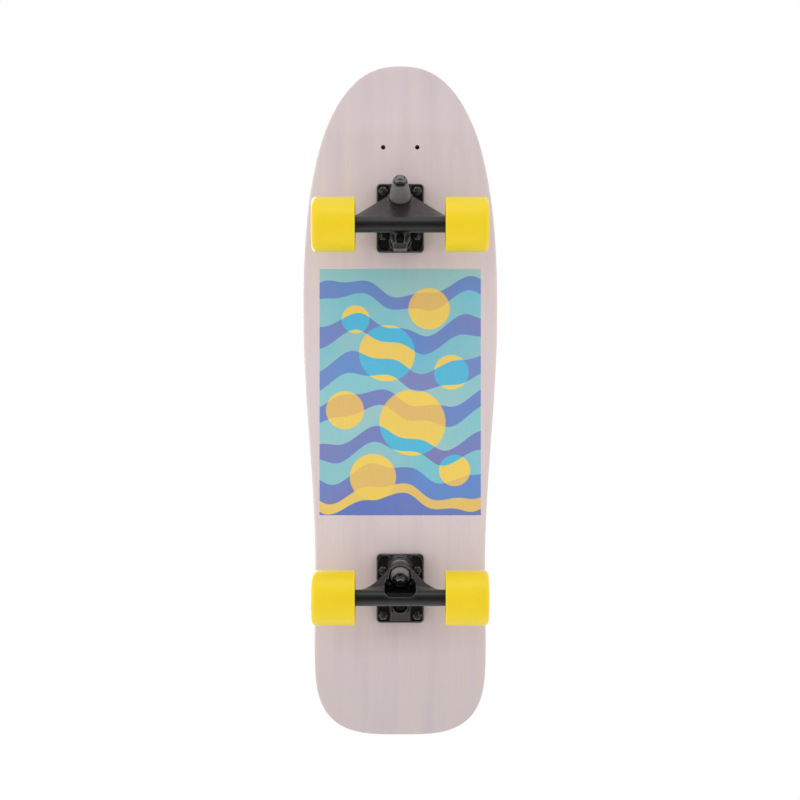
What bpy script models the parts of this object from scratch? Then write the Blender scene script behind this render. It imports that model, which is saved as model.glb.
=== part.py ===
"""Cruiser skateboard with a reverse kingpin front truck and a traditional kingpin rear truck.

Metres, +X to the nose, +Y to the rider's left, +Z up. The origin is on the ground under the middle of
the board. Each truck is modelled in its own frame, which lies on its baseplate's mounting face under
the axle: u (local X) points outboard, away from the board's middle, v (local Y) runs along the axle,
and w (local Z) points from the deck to the road.
"""

import math
from dataclasses import dataclass

import bmesh
import bpy
from mathutils import Matrix, Vector

MM = 0.001

# Clearances
FIT_GAP = 0.3 * MM  # between faces that touch on the real board
HOLE_CLEARANCE = 0.35 * MM  # around a deck bolt
SOCKET_CLEARANCE = 0.4 * MM  # around a bolt head, a nut or a bushing in its seat
WASHER_ROOM = 1.3 * MM  # for the speed washer on each side of a wheel

# Deck, measured flat along the middle ply before it is pressed
DECK_THICKNESS = 11.0 * MM
INNER_WHEELBASE = 404.5 * MM  # between the inner bolt rows
HOLE_ROW_SPACING = 53.98 * MM
HOLE_SIDE_SPACING = 41.28 * MM
NOSE_LENGTH = 211.2 * MM  # from the front truck's inner bolt row to the tip
TAIL_LENGTH = 211.4 * MM
NOSE_BEND_FROM_BOLTS = 11.3 * MM  # from the last front row, which the truck leaves empty
TAIL_BEND_FROM_BOLTS = 23.3 * MM
NOSE_KICK = math.radians(12.0)
TAIL_KICK = math.radians(18.0)
KICK_BEND_RADIUS = 90.0 * MM
DECK_EDGE_RADIUS = 3.0 * MM
NOSE_WIDTH = 236.4 * MM
WAIST_WIDTH = 206.6 * MM
TAIL_WIDTH = 208.4 * MM
NOSE_ROUND_LENGTH = 300.0 * MM
TAIL_ROUND_LENGTH = 112.0 * MM
WAIST_FROM_MIDDLE = 201.5 * MM
NOSE_ROUNDNESS = 2.4  # exponent of the superellipse
TAIL_ROUNDNESS = 3.3
CONCAVE_RISE = 6.0 * MM
CONCAVE_FLAT_WIDTH = 60.0 * MM
CONCAVE_AT_TIPS = 0.5  # share of the concave that is left at the tips

# Grip tape and riser pads
GRIP_THICKNESS = 0.8 * MM
GRIP_INSET = 1.5 * MM
RISER_THICKNESS = 3.0 * MM
RISER_WINDOW_WIDTH = 19.0 * MM
RISER_WINDOW_INBOARD = 9.0 * MM  # from where the kingpin's axis meets the mounting face
RISER_WINDOW_OUTBOARD = 14.0 * MM
WINDOW_CORNER = 3.0 * MM

# Deck bolts and nuts
BOLT_RADIUS = 2.4 * MM
BOLT_HEAD_RADIUS = 4.7 * MM
BOLT_PROUD = 1.4 * MM
DECK_NUT_WIDTH = 9.5 * MM
DECK_NUT_HEIGHT = 4.7 * MM

# Baseplates
PLATE_WIDTH = 57.2 * MM
PLATE_HEIGHT = 7.0 * MM
PLATE_FLOOR = 3.0 * MM
PLATE_RIM = 1.8 * MM
PLATE_CORNER = 5.0 * MM
PLATE_OUTBOARD_MARGIN = 8.7 * MM  # from the bolt row to the edge
PLATE_INBOARD_MARGIN = 20.2 * MM
HUMP_WIDTH = 25.0 * MM
POCKET_CORNER = 3.5 * MM
POCKET_INBOARD_CORNER = 9.0 * MM
SEAT_BOSS_RADIUS = 14.2 * MM
SEAT_RIM = 0.9 * MM  # round the cup washer
SEAT_WALL = 4.5 * MM  # between the bushing's seat and the kingpin's head
SEAT_BOSS_LENGTH = 14.0 * MM
BOSS_FOOT = 1.5 * MM  # height over the mounting face at which a boss starts
BOSS_INSET = 0.5 * MM  # from the plate's inboard edge
HEAD_TOOL_LENGTH = 60.0 * MM  # long enough to open a kingpin's head pocket through the mounting face
BLOCK_FOOT = 2.0 * MM  # height over the mounting face at which the tower and the saddle start

# Front baseplate's tower, along and across the bushing's seat or the steering axis
TOWER_HALF_WIDTH = 8.0 * MM
TOWER_BEHIND_SEAT = 0.5 * MM
TOWER_SEAT_LOW = 9.0 * MM
TOWER_SEAT_INSET = 1.2 * MM
TOWER_ROAD_SIDE = 1.3 * MM  # from the pivot's axis
TOWER_PAST_MOUTH = 0.8 * MM
TOWER_THROAT_INSET = 0.8 * MM
TOWER_PAST_CUP = 2.0 * MM
TOWER_BACK_DROP = 7.0 * MM
TOWER_FOOT_RADIUS = 13.4 * MM
TOWER_FOOT_INBOARD = 14.0 * MM  # from the plate's inboard edge to the middle of the round foot
TOWER_FOOT_RISE = 1.6 * MM

# Rear baseplate's saddle under the pivot cup, and the room it leaves for the pivot nose
SADDLE_HALF_WIDTH = 10.0 * MM
SADDLE_PAST_MOUTH = 0.8 * MM
SADDLE_MOUTH_RUN = 2.0 * MM
SADDLE_EDGE_INSET = 1.0 * MM
SADDLE_BELOW_RIM = 0.5 * MM
SADDLE_CREST_RUN = 4.0 * MM
SADDLE_CREST_RISE = 5.0 * MM
ROOM_INBOARD = -15.0 * MM
ROOM_OUTBOARD = 8.5 * MM
ROOM_HALF_WIDTH = 11.5 * MM
ROOM_FLOOR = 4.0 * MM

# Trucks
AXLE_HEIGHT = 64.4 * MM  # from the mounting face
AXLE_RADIUS = 3.97 * MM
TUBE_RADIUS = 9.75 * MM
AXLE_PROUD = 1.0 * MM
AXLE_NUT_WIDTH = 12.7 * MM
AXLE_NUT_HEIGHT = 6.5 * MM
AXLE_WALL = 1.6 * MM  # of the sleeve left round the axle in the kingpin pocket
LOCK_NUT_CROWN = 0.42  # radius of a lock nut's crown, as a share of its width
LOCK_NUT_SHOULDER = 0.76  # share of its height up to the crown

# Kingpins and what they hold
KINGPIN_RADIUS = 4.75 * MM
KINGPIN_HEAD_WIDTH = 14.3 * MM
KINGPIN_HEAD_HEIGHT = 5.0 * MM
KINGPIN_NUT_WIDTH = 14.3 * MM
KINGPIN_NUT_HEIGHT = 6.0 * MM
KINGPIN_PROUD = 1.0 * MM
RING_BORE_RADIUS = 8.0 * MM
RING_LIP = 1.1 * MM
CUP_WASHER_RADIUS = 12.9 * MM
CUP_WASHER_THICKNESS = 1.6 * MM
TOP_WASHER_RADIUS = 9.4 * MM
TOP_WASHER_THICKNESS = 1.3 * MM
BUSHING_BULGE = 0.5 * MM  # of a bushing's side over its ends
BARREL_SIDE = (0.25, 0.75)  # shares of a bushing's height between which its side is full
CONE_SIDE = (0.12, 0.94)
RING_TOOL_HALF = 20.0 * MM
SEAT_ROOM_PAST_NUT = 12.0 * MM

# Pivots
PIVOT_NOSE_RADIUS = 4.9 * MM
PIVOT_CUP_WALL = 2.0 * MM
PIVOT_CUP_DEPTH = 8.2 * MM
PIVOT_CUP_FLOOR = 1.6 * MM
PIVOT_BOSS_WALL = 2.6 * MM
PIVOT_TOOL_PAST_MOUTH = 10.0 * MM
FRONT_BOSS_MOUTH = 12.0 * MM  # radii of the front pivot cup's boss, which narrows from the mouth
FRONT_BOSS_END = 8.4 * MM
SLOT_FLOOR = 3.4 * MM  # from the pivot's axis to the floor of the slot that opens the boss to the road
SLOT_HEIGHT = 20.0 * MM

# Half outline of each slot from its mouth, (half width, distance past the pivot cup's mouth)
FRONT_SLOT = [(6.3 * MM, -3.0 * MM), (4.4 * MM, 8.0 * MM), (3.8 * MM, 14.0 * MM)]
REAR_SLOT = [(6.6 * MM, -3.0 * MM), (6.6 * MM, 4.5 * MM), (4.8 * MM, 7.6 * MM), (1.8 * MM, 9.4 * MM)]

# Wheels and bearings
WHEEL_RADIUS = 32.5 * MM
WHEEL_WIDTH = 51.0 * MM
WHEEL_CENTRE = 78.7 * MM  # from the board's centre line
WHEEL_OUTER_LIP = 5.5 * MM
WHEEL_INNER_LIP = 1.6 * MM
WHEEL_FACE_RADIUS = 22.0 * MM
WHEEL_RECESS_RADIUS = 14.0 * MM
WHEEL_WEB_BORE = 9.2 * MM
BEARING_RADIUS = 11.0 * MM
BEARING_WIDTH = 7.0 * MM
SPACER_RADIUS = 5.2 * MM
SPACER_LENGTH = 10.0 * MM

# Facets
WHEEL_STEPS = 24
BUSHING_STEPS = 16
BEARING_STEPS = 12
SMALL_STEPS = 10
TUBE_STEPS = 14
WEB_STEPS = 4
CORNER_STEPS = 3
NOSE_OUTLINE_STEPS = 11
TAIL_OUTLINE_STEPS = 8
SIDE_OUTLINE_STEPS = 6
FOLD_STEP = math.radians(4.5)
HEX_POINTS = 12  # points in a loop that runs from a hexagon to a circle


@dataclass(frozen=True)
class Bushing:
    """One of the two rubber bushings on a kingpin."""

    height: float
    base_radius: float
    top_radius: float


@dataclass(frozen=True)
class Truck:
    """What differs between the trucks. Angles are from the mounting face's normal or from its plane."""

    name: str
    to_nose: bool
    bolts_from_axle: float
    ring_u: float
    ring_w: float
    ring_radius: float
    ring_half: float
    kingpin_lean: float
    steer_slope: float
    pivot_outboard: bool
    cup_from_ring: float
    roadside: Bushing
    boardside: Bushing

    @property
    def ring_centre(self):
        return Vector((self.ring_u, 0.0, self.ring_w))

    @property
    def kingpin(self):
        """Frame at the ring's centre, Z along the kingpin to the road and X along the axle."""
        return frame_at(self.ring_centre, math.sin(self.kingpin_lean), math.cos(self.kingpin_lean))

    @property
    def steering(self):
        """Frame at the ring's centre, Z along the steering axis to the pivot and X along the axle."""
        sign = 1.0 if self.pivot_outboard else -1.0
        return frame_at(
            self.ring_centre,
            sign * math.cos(self.steer_slope),
            -sign * math.sin(self.steer_slope),
        )

    @property
    def seat(self):
        """Distance along the kingpin from the ring's centre to the base's seat, towards the deck."""
        stack = self.ring_half + self.boardside.height + CUP_WASHER_THICKNESS
        return stack + 3.0 * FIT_GAP

    @property
    def nut_start(self):
        """Distance along the kingpin from the ring's centre to the lock nut."""
        stack = self.ring_half + self.roadside.height + TOP_WASHER_THICKNESS
        return stack + 3.0 * FIT_GAP

    @property
    def rows(self):
        half = HOLE_ROW_SPACING / 2.0
        return (self.bolts_from_axle - half, self.bolts_from_axle + half)

    @property
    def plate_ends(self):
        inboard, outboard = self.rows
        return (inboard - PLATE_INBOARD_MARGIN, outboard + PLATE_OUTBOARD_MARGIN)


def frame_at(origin, along_u, along_w):
    """Frame whose Z runs in the truck's middle plane and whose X runs along the axle."""
    matrix = Matrix.Identity(4)
    matrix.col[0] = (0.0, 1.0, 0.0, 0.0)
    matrix.col[1] = (-along_w, 0.0, along_u, 0.0)
    matrix.col[2] = (along_u, 0.0, along_w, 0.0)
    matrix.col[3] = (*origin, 1.0)
    return matrix


FRONT = Truck(
    name="front",
    to_nose=True,
    bolts_from_axle=18.1 * MM,
    ring_u=30.6 * MM,
    ring_w=24.6 * MM,
    ring_radius=16.0 * MM,
    ring_half=4.75 * MM,
    kingpin_lean=math.radians(50.0),
    steer_slope=math.radians(36.0),
    pivot_outboard=False,
    cup_from_ring=58.3 * MM,
    roadside=Bushing(height=22.0 * MM, base_radius=13.0 * MM, top_radius=9.5 * MM),
    boardside=Bushing(height=12.4 * MM, base_radius=12.6 * MM, top_radius=12.6 * MM),
)

REAR = Truck(
    name="rear",
    to_nose=False,
    bolts_from_axle=-0.2 * MM,
    ring_u=-24.9 * MM,
    ring_w=28.4 * MM,
    ring_radius=15.0 * MM,
    ring_half=4.5 * MM,
    kingpin_lean=math.radians(22.0),
    steer_slope=math.radians(23.0),
    pivot_outboard=True,
    cup_from_ring=38.0 * MM,
    roadside=Bushing(height=9.0 * MM, base_radius=12.4 * MM, top_radius=9.2 * MM),
    boardside=Bushing(height=12.7 * MM, base_radius=12.4 * MM, top_radius=12.4 * MM),
)


# Materials


def linear(hex_colour):
    """Linear RGBA of an sRGB hex colour."""
    channels = []
    for start in (0, 2, 4):
        value = int(hex_colour[start:start + 2], 16) / 255.0
        if value <= 0.04045:
            channels.append(value / 12.92)
        else:
            channels.append(((value + 0.055) / 1.055) ** 2.4)
    return (*channels, 1.0)


def material(name, hex_colour, roughness, metallic=0.0):
    """Principled material, made once for each name."""
    if name in bpy.data.materials:
        return bpy.data.materials[name]
    made = bpy.data.materials.new(name)
    made.use_nodes = True
    made.diffuse_color = linear(hex_colour)
    shader = made.node_tree.nodes["Principled BSDF"]
    shader.inputs["Base Color"].default_value = linear(hex_colour)
    shader.inputs["Roughness"].default_value = roughness
    shader.inputs["Metallic"].default_value = metallic
    return made


def maple():
    return material("maple_ply", "D6C9CA", 0.45)


def grip_grit():
    return material("grip_grit", "26262A", 0.95)


def cast_black():
    return material("black_cast_aluminium", "2B292B", 0.45)


def steel():
    return material("zinc_plated_steel", "A9ABAD", 0.35, 1.0)


def black_steel():
    return material("black_steel", "34323A", 0.4, 0.8)


def grey_urethane():
    return material("grey_urethane", "77787A", 0.5)


def yellow_urethane():
    return material("yellow_urethane", "F0D62E", 0.4)


def pad_rubber():
    return material("riser_rubber", "1D1C1E", 0.8)


def cup_plastic():
    return material("pivot_cup_plastic", "17171A", 0.6)


# Shapes


def turned(profile, steps, ring=True):
    """Solid turned about Z from (radius, z) points: a closed ring, or a profile between two poles."""
    bm = bmesh.new()
    verts = [bm.verts.new((radius, 0.0, z)) for radius, z in profile]
    edges = [bm.edges.new(pair) for pair in zip(verts, verts[1:])]
    if ring:
        edges.append(bm.edges.new((verts[-1], verts[0])))
    bmesh.ops.spin(
        bm,
        geom=verts + edges,
        axis=(0.0, 0.0, 1.0),
        cent=(0.0, 0.0, 0.0),
        angle=2.0 * math.pi,
        steps=steps,
        use_merge=True,
    )
    bmesh.ops.remove_doubles(bm, verts=bm.verts, dist=1e-7)
    bmesh.ops.recalc_face_normals(bm, faces=bm.faces)
    return bm


def cylinder(radius, bottom, top, steps=SMALL_STEPS, top_radius=None):
    """Round bar, or a cone if its top has a radius of its own."""
    bm = bmesh.new()
    bmesh.ops.create_cone(
        bm,
        cap_ends=True,
        cap_tris=False,
        segments=steps,
        radius1=radius,
        radius2=top_radius or radius,
        depth=top - bottom,
        matrix=Matrix.Translation((0.0, 0.0, (bottom + top) / 2.0)),
    )
    return bm


def sleeve(inner, outer, bottom, top, steps):
    return turned([(inner, bottom), (outer, bottom), (outer, top), (inner, top)], steps)


def loft(loops, around=False):
    """Skin over loops with equal numbers of points: capped at its ends, or joined round to the first."""
    bm = bmesh.new()
    rings = [[bm.verts.new(point) for point in loop] for loop in loops]
    pairs = list(zip(rings, rings[1:]))
    if around:
        pairs.append((rings[-1], rings[0]))
    count = len(rings[0])
    for near, far in pairs:
        for i in range(count):
            j = (i + 1) % count
            bm.faces.new((near[i], near[j], far[j], far[i]))
    if not around:
        bm.faces.new(rings[0])
        bm.faces.new(rings[-1])
    bmesh.ops.recalc_face_normals(bm, faces=bm.faces)
    return bm


def prism(outline, bottom, top):
    """Straight solid over (x, y) points, from one height to another."""
    return loft([[(x, y, z) for x, y in outline] for z in (bottom, top)])


def side_prism(outline, half_width):
    """Solid over (u, w) points that is as wide on both sides of the truck's middle plane."""
    return loft([[(u, v, w) for u, w in outline] for v in (-half_width, half_width)])


def rounded_outline(corners, steps=CORNER_STEPS):
    """Outline with an arc at each corner of an axis-aligned box, given as (x, y, radius) in order."""
    middle = Vector((sum(c[0] for c in corners), sum(c[1] for c in corners))) / len(corners)
    points = []
    for x, y, radius in corners:
        inward = Vector((math.copysign(1.0, middle.x - x), math.copysign(1.0, middle.y - y)))
        centre = Vector((x, y)) + radius * inward
        out = math.atan2(-inward.y, -inward.x)
        for step in range(steps + 1):
            angle = out + math.radians(-45.0 + 90.0 * step / steps)
            points.append((centre.x + radius * math.cos(angle), centre.y + radius * math.sin(angle)))
    return points


def box_outline(left, right, low, high, radius, high_left_radius=None):
    """Rounded box outline, counter-clockwise, whose high left corner may have its own radius."""
    return rounded_outline([
        (right, low, radius),
        (right, high, radius),
        (left, high, high_left_radius or radius),
        (left, low, radius),
    ])


def hexagon_loop(width, z):
    """Twelve points round a hexagon, its corners and the middles of its sides."""
    points = []
    for i in range(HEX_POINTS):
        radius = width / 2.0
        if i % 2:
            radius /= math.cos(math.pi / 6.0)
        angle = 2.0 * math.pi * i / HEX_POINTS
        points.append((radius * math.cos(angle), radius * math.sin(angle), z))
    return points


def circle_loop(radius, z):
    turn = 2.0 * math.pi / HEX_POINTS
    return [(radius * math.cos(turn * i), radius * math.sin(turn * i), z) for i in range(HEX_POINTS)]


def hex_nut(width, height, bore):
    """Plain hexagon nut with a bore."""
    loops = [circle_loop(bore, 0.0), hexagon_loop(width, 0.0), hexagon_loop(width, height)]
    return loft([*loops, circle_loop(bore, height)], around=True)


def lock_nut(width, height, bore):
    """Hexagon nut whose crown narrows to hold a nylon ring."""
    crown = LOCK_NUT_CROWN * width
    shoulder = LOCK_NUT_SHOULDER * height
    loops = [circle_loop(bore, 0.0), hexagon_loop(width, 0.0), hexagon_loop(width, shoulder)]
    return loft([*loops, circle_loop(crown, height), circle_loop(bore, height)], around=True)


def hex_bolt(head_width, head_height, radius, length):
    """Bolt whose head lies from z = 0 down and whose shank rises to its length."""
    tip = 0.25 * radius
    return loft([
        hexagon_loop(head_width, -head_height),
        hexagon_loop(head_width, 0.0),
        circle_loop(radius, 0.0),
        circle_loop(radius, length - tip),
        circle_loop(radius - tip, length),
    ])


# Objects


def add_object(name, bm, parent, matrix):
    mesh = bpy.data.meshes.new(name)
    bm.to_mesh(mesh)
    bm.free()
    made = bpy.data.objects.new(name, mesh)
    bpy.context.scene.collection.objects.link(made)
    made.parent = parent
    made.matrix_local = matrix
    return made


def piece(name, bm, finish, parent=None, matrix=Matrix.Identity(4), crease=35.0):
    """One sub-part, smooth except over edges sharper than the crease angle in degrees."""
    made = add_object(name, bm, parent, matrix)
    made.data.materials.append(finish)
    made.data.shade_smooth()
    made.data.set_sharp_from_angle(angle=math.radians(crease))
    return made


def guide(name, bm, parent=None, matrix=Matrix.Identity(4)):
    """Hidden shape that joins or cuts a sub-part."""
    made = add_object(name, bm, parent, matrix)
    made.hide_render = True
    made.display_type = "WIRE"
    return made


def empty(name, parent=None, matrix=Matrix.Identity(4)):
    made = bpy.data.objects.new(name, None)
    bpy.context.scene.collection.objects.link(made)
    made.empty_display_size = 0.02
    made.parent = parent
    made.matrix_local = matrix
    return made


def combine(target, tool, operation):
    modifier = target.modifiers.new(f"{operation.lower()}_{tool.name}", "BOOLEAN")
    modifier.operation = operation
    modifier.solver = "EXACT"
    modifier.object = tool


def join(target, tool):
    combine(target, tool, "UNION")


def cut(target, tool):
    combine(target, tool, "DIFFERENCE")


# Board

MIDDLE_TO_ROW = INNER_WHEELBASE / 2.0
NOSE_TIP = MIDDLE_TO_ROW + NOSE_LENGTH
TAIL_TIP = -MIDDLE_TO_ROW - TAIL_LENGTH
NOSE_BEND = MIDDLE_TO_ROW + 2.0 * HOLE_ROW_SPACING + NOSE_BEND_FROM_BOLTS
TAIL_BEND = -MIDDLE_TO_ROW - HOLE_ROW_SPACING - TAIL_BEND_FROM_BOLTS
NOSE_SHOULDER = NOSE_TIP - NOSE_ROUND_LENGTH
TAIL_SHOULDER = TAIL_TIP + TAIL_ROUND_LENGTH
MOUNT_DEPTH = RISER_THICKNESS + 2.0 * FIT_GAP  # from the deck's underside to the mounting face
DECK_BOTTOM = WHEEL_RADIUS + AXLE_HEIGHT + MOUNT_DEPTH


def bent(distance, kick):
    """How far along and how high a point lies, and its slope, at a distance past a kick's bend line."""
    arc = KICK_BEND_RADIUS * kick
    turn = min(distance, arc) / KICK_BEND_RADIUS
    past = max(distance - arc, 0.0)
    along = KICK_BEND_RADIUS * math.sin(turn) + past * math.cos(kick)
    high = KICK_BEND_RADIUS * (1.0 - math.cos(turn)) + past * math.sin(kick)
    return along, high, turn


def pressed_line(s):
    """Place (x, z) and upward normal of the deck's underside at a flat distance from its middle."""
    if s > NOSE_BEND:
        along, high, turn = bent(s - NOSE_BEND, NOSE_KICK)
        return NOSE_BEND + along, high, -math.sin(turn), math.cos(turn)
    if s < TAIL_BEND:
        along, high, turn = bent(TAIL_BEND - s, TAIL_KICK)
        return TAIL_BEND - along, high, math.sin(turn), math.cos(turn)
    return s, 0.0, 0.0, 1.0


def tip_reach(tip):
    """How far along the board a tip reaches, at the height where its rounded edge is widest."""
    x, _, normal_x, _ = pressed_line(tip)
    return x + normal_x * DECK_EDGE_RADIUS


BOARD_SHIFT = -(tip_reach(NOSE_TIP) + tip_reach(TAIL_TIP)) / 2.0


def tip_share(s):
    """0 between the bends, rising to 1 at a tip."""
    if s > NOSE_BEND:
        return min((s - NOSE_BEND) / (NOSE_TIP - NOSE_BEND), 1.0)
    if s < TAIL_BEND:
        return min((TAIL_BEND - s) / (TAIL_BEND - TAIL_TIP), 1.0)
    return 0.0


def pressed(s, y, height):
    """Where the press moves a point of the flat board, s along it and y across it, over its underside."""
    flat = CONCAVE_FLAT_WIDTH / 2.0
    span = NOSE_WIDTH / 2.0 - flat
    out = max(abs(y) - flat, 0.0) / span
    depth = CONCAVE_RISE * (1.0 - (1.0 - CONCAVE_AT_TIPS) * tip_share(s))
    lean = math.atan(2.0 * depth * out / span)
    rise = depth * out * out + height * math.cos(lean)
    x, z, normal_x, normal_z = pressed_line(s)
    return Vector((
        BOARD_SHIFT + x + normal_x * rise,
        y - math.copysign(height * math.sin(lean), y),
        DECK_BOTTOM + z + normal_z * rise,
    ))


def side_half_width(s):
    """Half width between the round of the nose and the round of the tail."""
    if s > -WAIST_FROM_MIDDLE:
        share = (NOSE_SHOULDER - s) / (NOSE_SHOULDER + WAIST_FROM_MIDDLE)
        wide = NOSE_WIDTH
    else:
        share = (s - TAIL_SHOULDER) / (-WAIST_FROM_MIDDLE - TAIL_SHOULDER)
        wide = TAIL_WIDTH
    blend = (1.0 + math.cos(math.pi * share)) / 2.0
    return (WAIST_WIDTH + (wide - WAIST_WIDTH) * blend) / 2.0


def round_end(shoulder, length, half_width, roundness, steps):
    """Points of one end's superellipse, from its shoulder to its tip."""
    points = []
    for step in range(steps + 1):
        angle = math.pi / 2.0 * (1.0 - step / steps)
        along = max(math.cos(angle), 0.0) ** (2.0 / roundness)
        across = max(math.sin(angle), 0.0) ** (2.0 / roundness)
        points.append((shoulder + length * along, half_width * across))
    return points


def board_outline(inset):
    """Flat outline of the board, drawn in by the inset, counter-clockwise from the nose."""
    nose = round_end(
        NOSE_SHOULDER,
        NOSE_ROUND_LENGTH - inset,
        NOSE_WIDTH / 2.0 - inset,
        NOSE_ROUNDNESS,
        NOSE_OUTLINE_STEPS,
    )
    tail = round_end(
        TAIL_SHOULDER,
        -(TAIL_ROUND_LENGTH - inset),
        TAIL_WIDTH / 2.0 - inset,
        TAIL_ROUNDNESS,
        TAIL_OUTLINE_STEPS,
    )
    step = (NOSE_SHOULDER - TAIL_SHOULDER) / SIDE_OUTLINE_STEPS
    sides = [NOSE_SHOULDER - step * i for i in range(1, SIDE_OUTLINE_STEPS)]
    left = nose[::-1] + [(s, side_half_width(s) - inset) for s in sides] + tail
    return left + [(s, -y) for s, y in reversed(left[1:-1])]


def fold_stations():
    """Flat distances at which the board is divided, so that it can follow the press."""
    stations = []
    for bend, kick, way, tip in (
        (NOSE_BEND, NOSE_KICK, 1.0, NOSE_TIP),
        (TAIL_BEND, TAIL_KICK, -1.0, TAIL_TIP),
    ):
        arc = KICK_BEND_RADIUS * kick
        steps = max(CORNER_STEPS, round(kick / FOLD_STEP))
        stations += [bend + way * arc * i / steps for i in range(steps + 1)]
        stations.append((bend + way * arc + tip) / 2.0)
    return stations


def fold_lines():
    """Distances from the centre line at which the board is divided."""
    flat = CONCAVE_FLAT_WIDTH / 2.0
    span = NOSE_WIDTH / 2.0 - flat
    offsets = [flat, flat + span / 2.0]
    return offsets + [-offset for offset in offsets]


def board_layer(inset, bottom, top, edge_radius=0.0):
    """One layer of the board, cut flat, divided and pressed to shape."""
    bm = bmesh.new()
    rim = [bm.verts.new((s, y, bottom)) for s, y in board_outline(inset)]
    raised = bmesh.ops.extrude_face_region(bm, geom=[bm.faces.new(rim)])
    lifted = [item for item in raised["geom"] if isinstance(item, bmesh.types.BMVert)]
    bmesh.ops.translate(bm, verts=lifted, vec=(0.0, 0.0, top - bottom))
    if edge_radius:
        level = [edge for edge in bm.edges if edge.verts[0].co.z == edge.verts[1].co.z]
        bmesh.ops.bevel(
            bm,
            geom=level,
            offset=edge_radius,
            offset_type="OFFSET",
            segments=2,
            profile=0.5,
            affect="EDGES",
            clamp_overlap=True,
            material=-1,
        )
    cuts = [((s, 0.0, 0.0), (1.0, 0.0, 0.0)) for s in fold_stations()]
    cuts += [((0.0, y, 0.0), (0.0, 1.0, 0.0)) for y in fold_lines()]
    for point, normal in cuts:
        geom = bm.verts[:] + bm.edges[:] + bm.faces[:]
        bmesh.ops.bisect_plane(bm, geom=geom, dist=1e-6, plane_co=point, plane_no=normal)
    for vert in bm.verts:
        vert.co = pressed(*vert.co)
    bmesh.ops.recalc_face_normals(bm, faces=bm.faces)
    bmesh.ops.triangulate(bm, faces=bm.faces)
    return bm


GRIP_BOTTOM = DECK_THICKNESS + FIT_GAP
GRIP_TOP = GRIP_BOTTOM + GRIP_THICKNESS
HEAD_CONE = BOLT_HEAD_RADIUS - BOLT_RADIUS  # a right-angled countersink is as deep as it is wide


def hole_cutter():
    """Countersunk hole through the deck and the grip tape, from the deck's underside."""
    hole = BOLT_RADIUS + HOLE_CLEARANCE
    head = BOLT_HEAD_RADIUS + HOLE_CLEARANCE
    return turned(
        [
            (0.0, -DECK_THICKNESS),
            (hole, -DECK_THICKNESS),
            (hole, GRIP_TOP - HEAD_CONE - HOLE_CLEARANCE),
            (head, GRIP_TOP - HOLE_CLEARANCE),
            (head, GRIP_TOP + DECK_THICKNESS),
            (0.0, GRIP_TOP + DECK_THICKNESS),
        ],
        SMALL_STEPS,
        ring=False,
    )


def bolt_places(truck):
    """Flat places (s, y) of a truck's four bolts."""
    way = 1.0 if truck.to_nose else -1.0
    rows = (MIDDLE_TO_ROW, MIDDLE_TO_ROW + HOLE_ROW_SPACING)
    half = HOLE_SIDE_SPACING / 2.0
    return [(way * row, side * half) for row in rows for side in (1.0, -1.0)]


def build_board():
    """Deck, grip tape and the holes through them."""
    deck = piece("deck", board_layer(0.0, 0.0, DECK_THICKNESS, DECK_EDGE_RADIUS), maple(), crease=25.0)
    grip = piece("grip_tape", board_layer(GRIP_INSET, GRIP_BOTTOM, GRIP_TOP), grip_grit(), crease=25.0)
    for truck in (FRONT, REAR):
        for index, (s, y) in enumerate(bolt_places(truck), start=1):
            place = Matrix.Translation(pressed(s, y, 0.0))
            tool = guide(f"{truck.name}_bolt_hole_{index}", hole_cutter(), matrix=place)
            cut(deck, tool)
            cut(grip, tool)
    spare = MIDDLE_TO_ROW + 2.0 * HOLE_ROW_SPACING
    hole = BOLT_RADIUS + HOLE_CLEARANCE
    for index, side in enumerate((1.0, -1.0), start=1):
        place = Matrix.Translation(pressed(spare, side * HOLE_SIDE_SPACING / 2.0, 0.0))
        bm = cylinder(hole, -DECK_THICKNESS, 2.0 * DECK_THICKNESS)
        cut(deck, guide(f"spare_hole_{index}", bm, matrix=place))


# Trucks


def truck_frame(truck):
    """Empty on the mounting face under the axle, with Z to the road."""
    row_middle = MIDDLE_TO_ROW + HOLE_ROW_SPACING / 2.0
    reach = row_middle - truck.bolts_from_axle
    height = DECK_BOTTOM - MOUNT_DEPTH
    if truck.to_nose:
        place = Matrix.Translation((BOARD_SHIFT + reach, 0.0, height)) @ Matrix.Rotation(math.pi, 4, "X")
    else:
        place = Matrix.Translation((BOARD_SHIFT - reach, 0.0, height)) @ Matrix.Rotation(math.pi, 4, "Y")
    return empty(f"{truck.name}_truck", matrix=place)


def bolt_spots(truck):
    half = HOLE_SIDE_SPACING / 2.0
    return [(u, side * half) for u in truck.rows for side in (1.0, -1.0)]


def along(frame, distance):
    """Frame moved along its own Z."""
    return frame @ Matrix.Translation((0.0, 0.0, distance))


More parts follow.
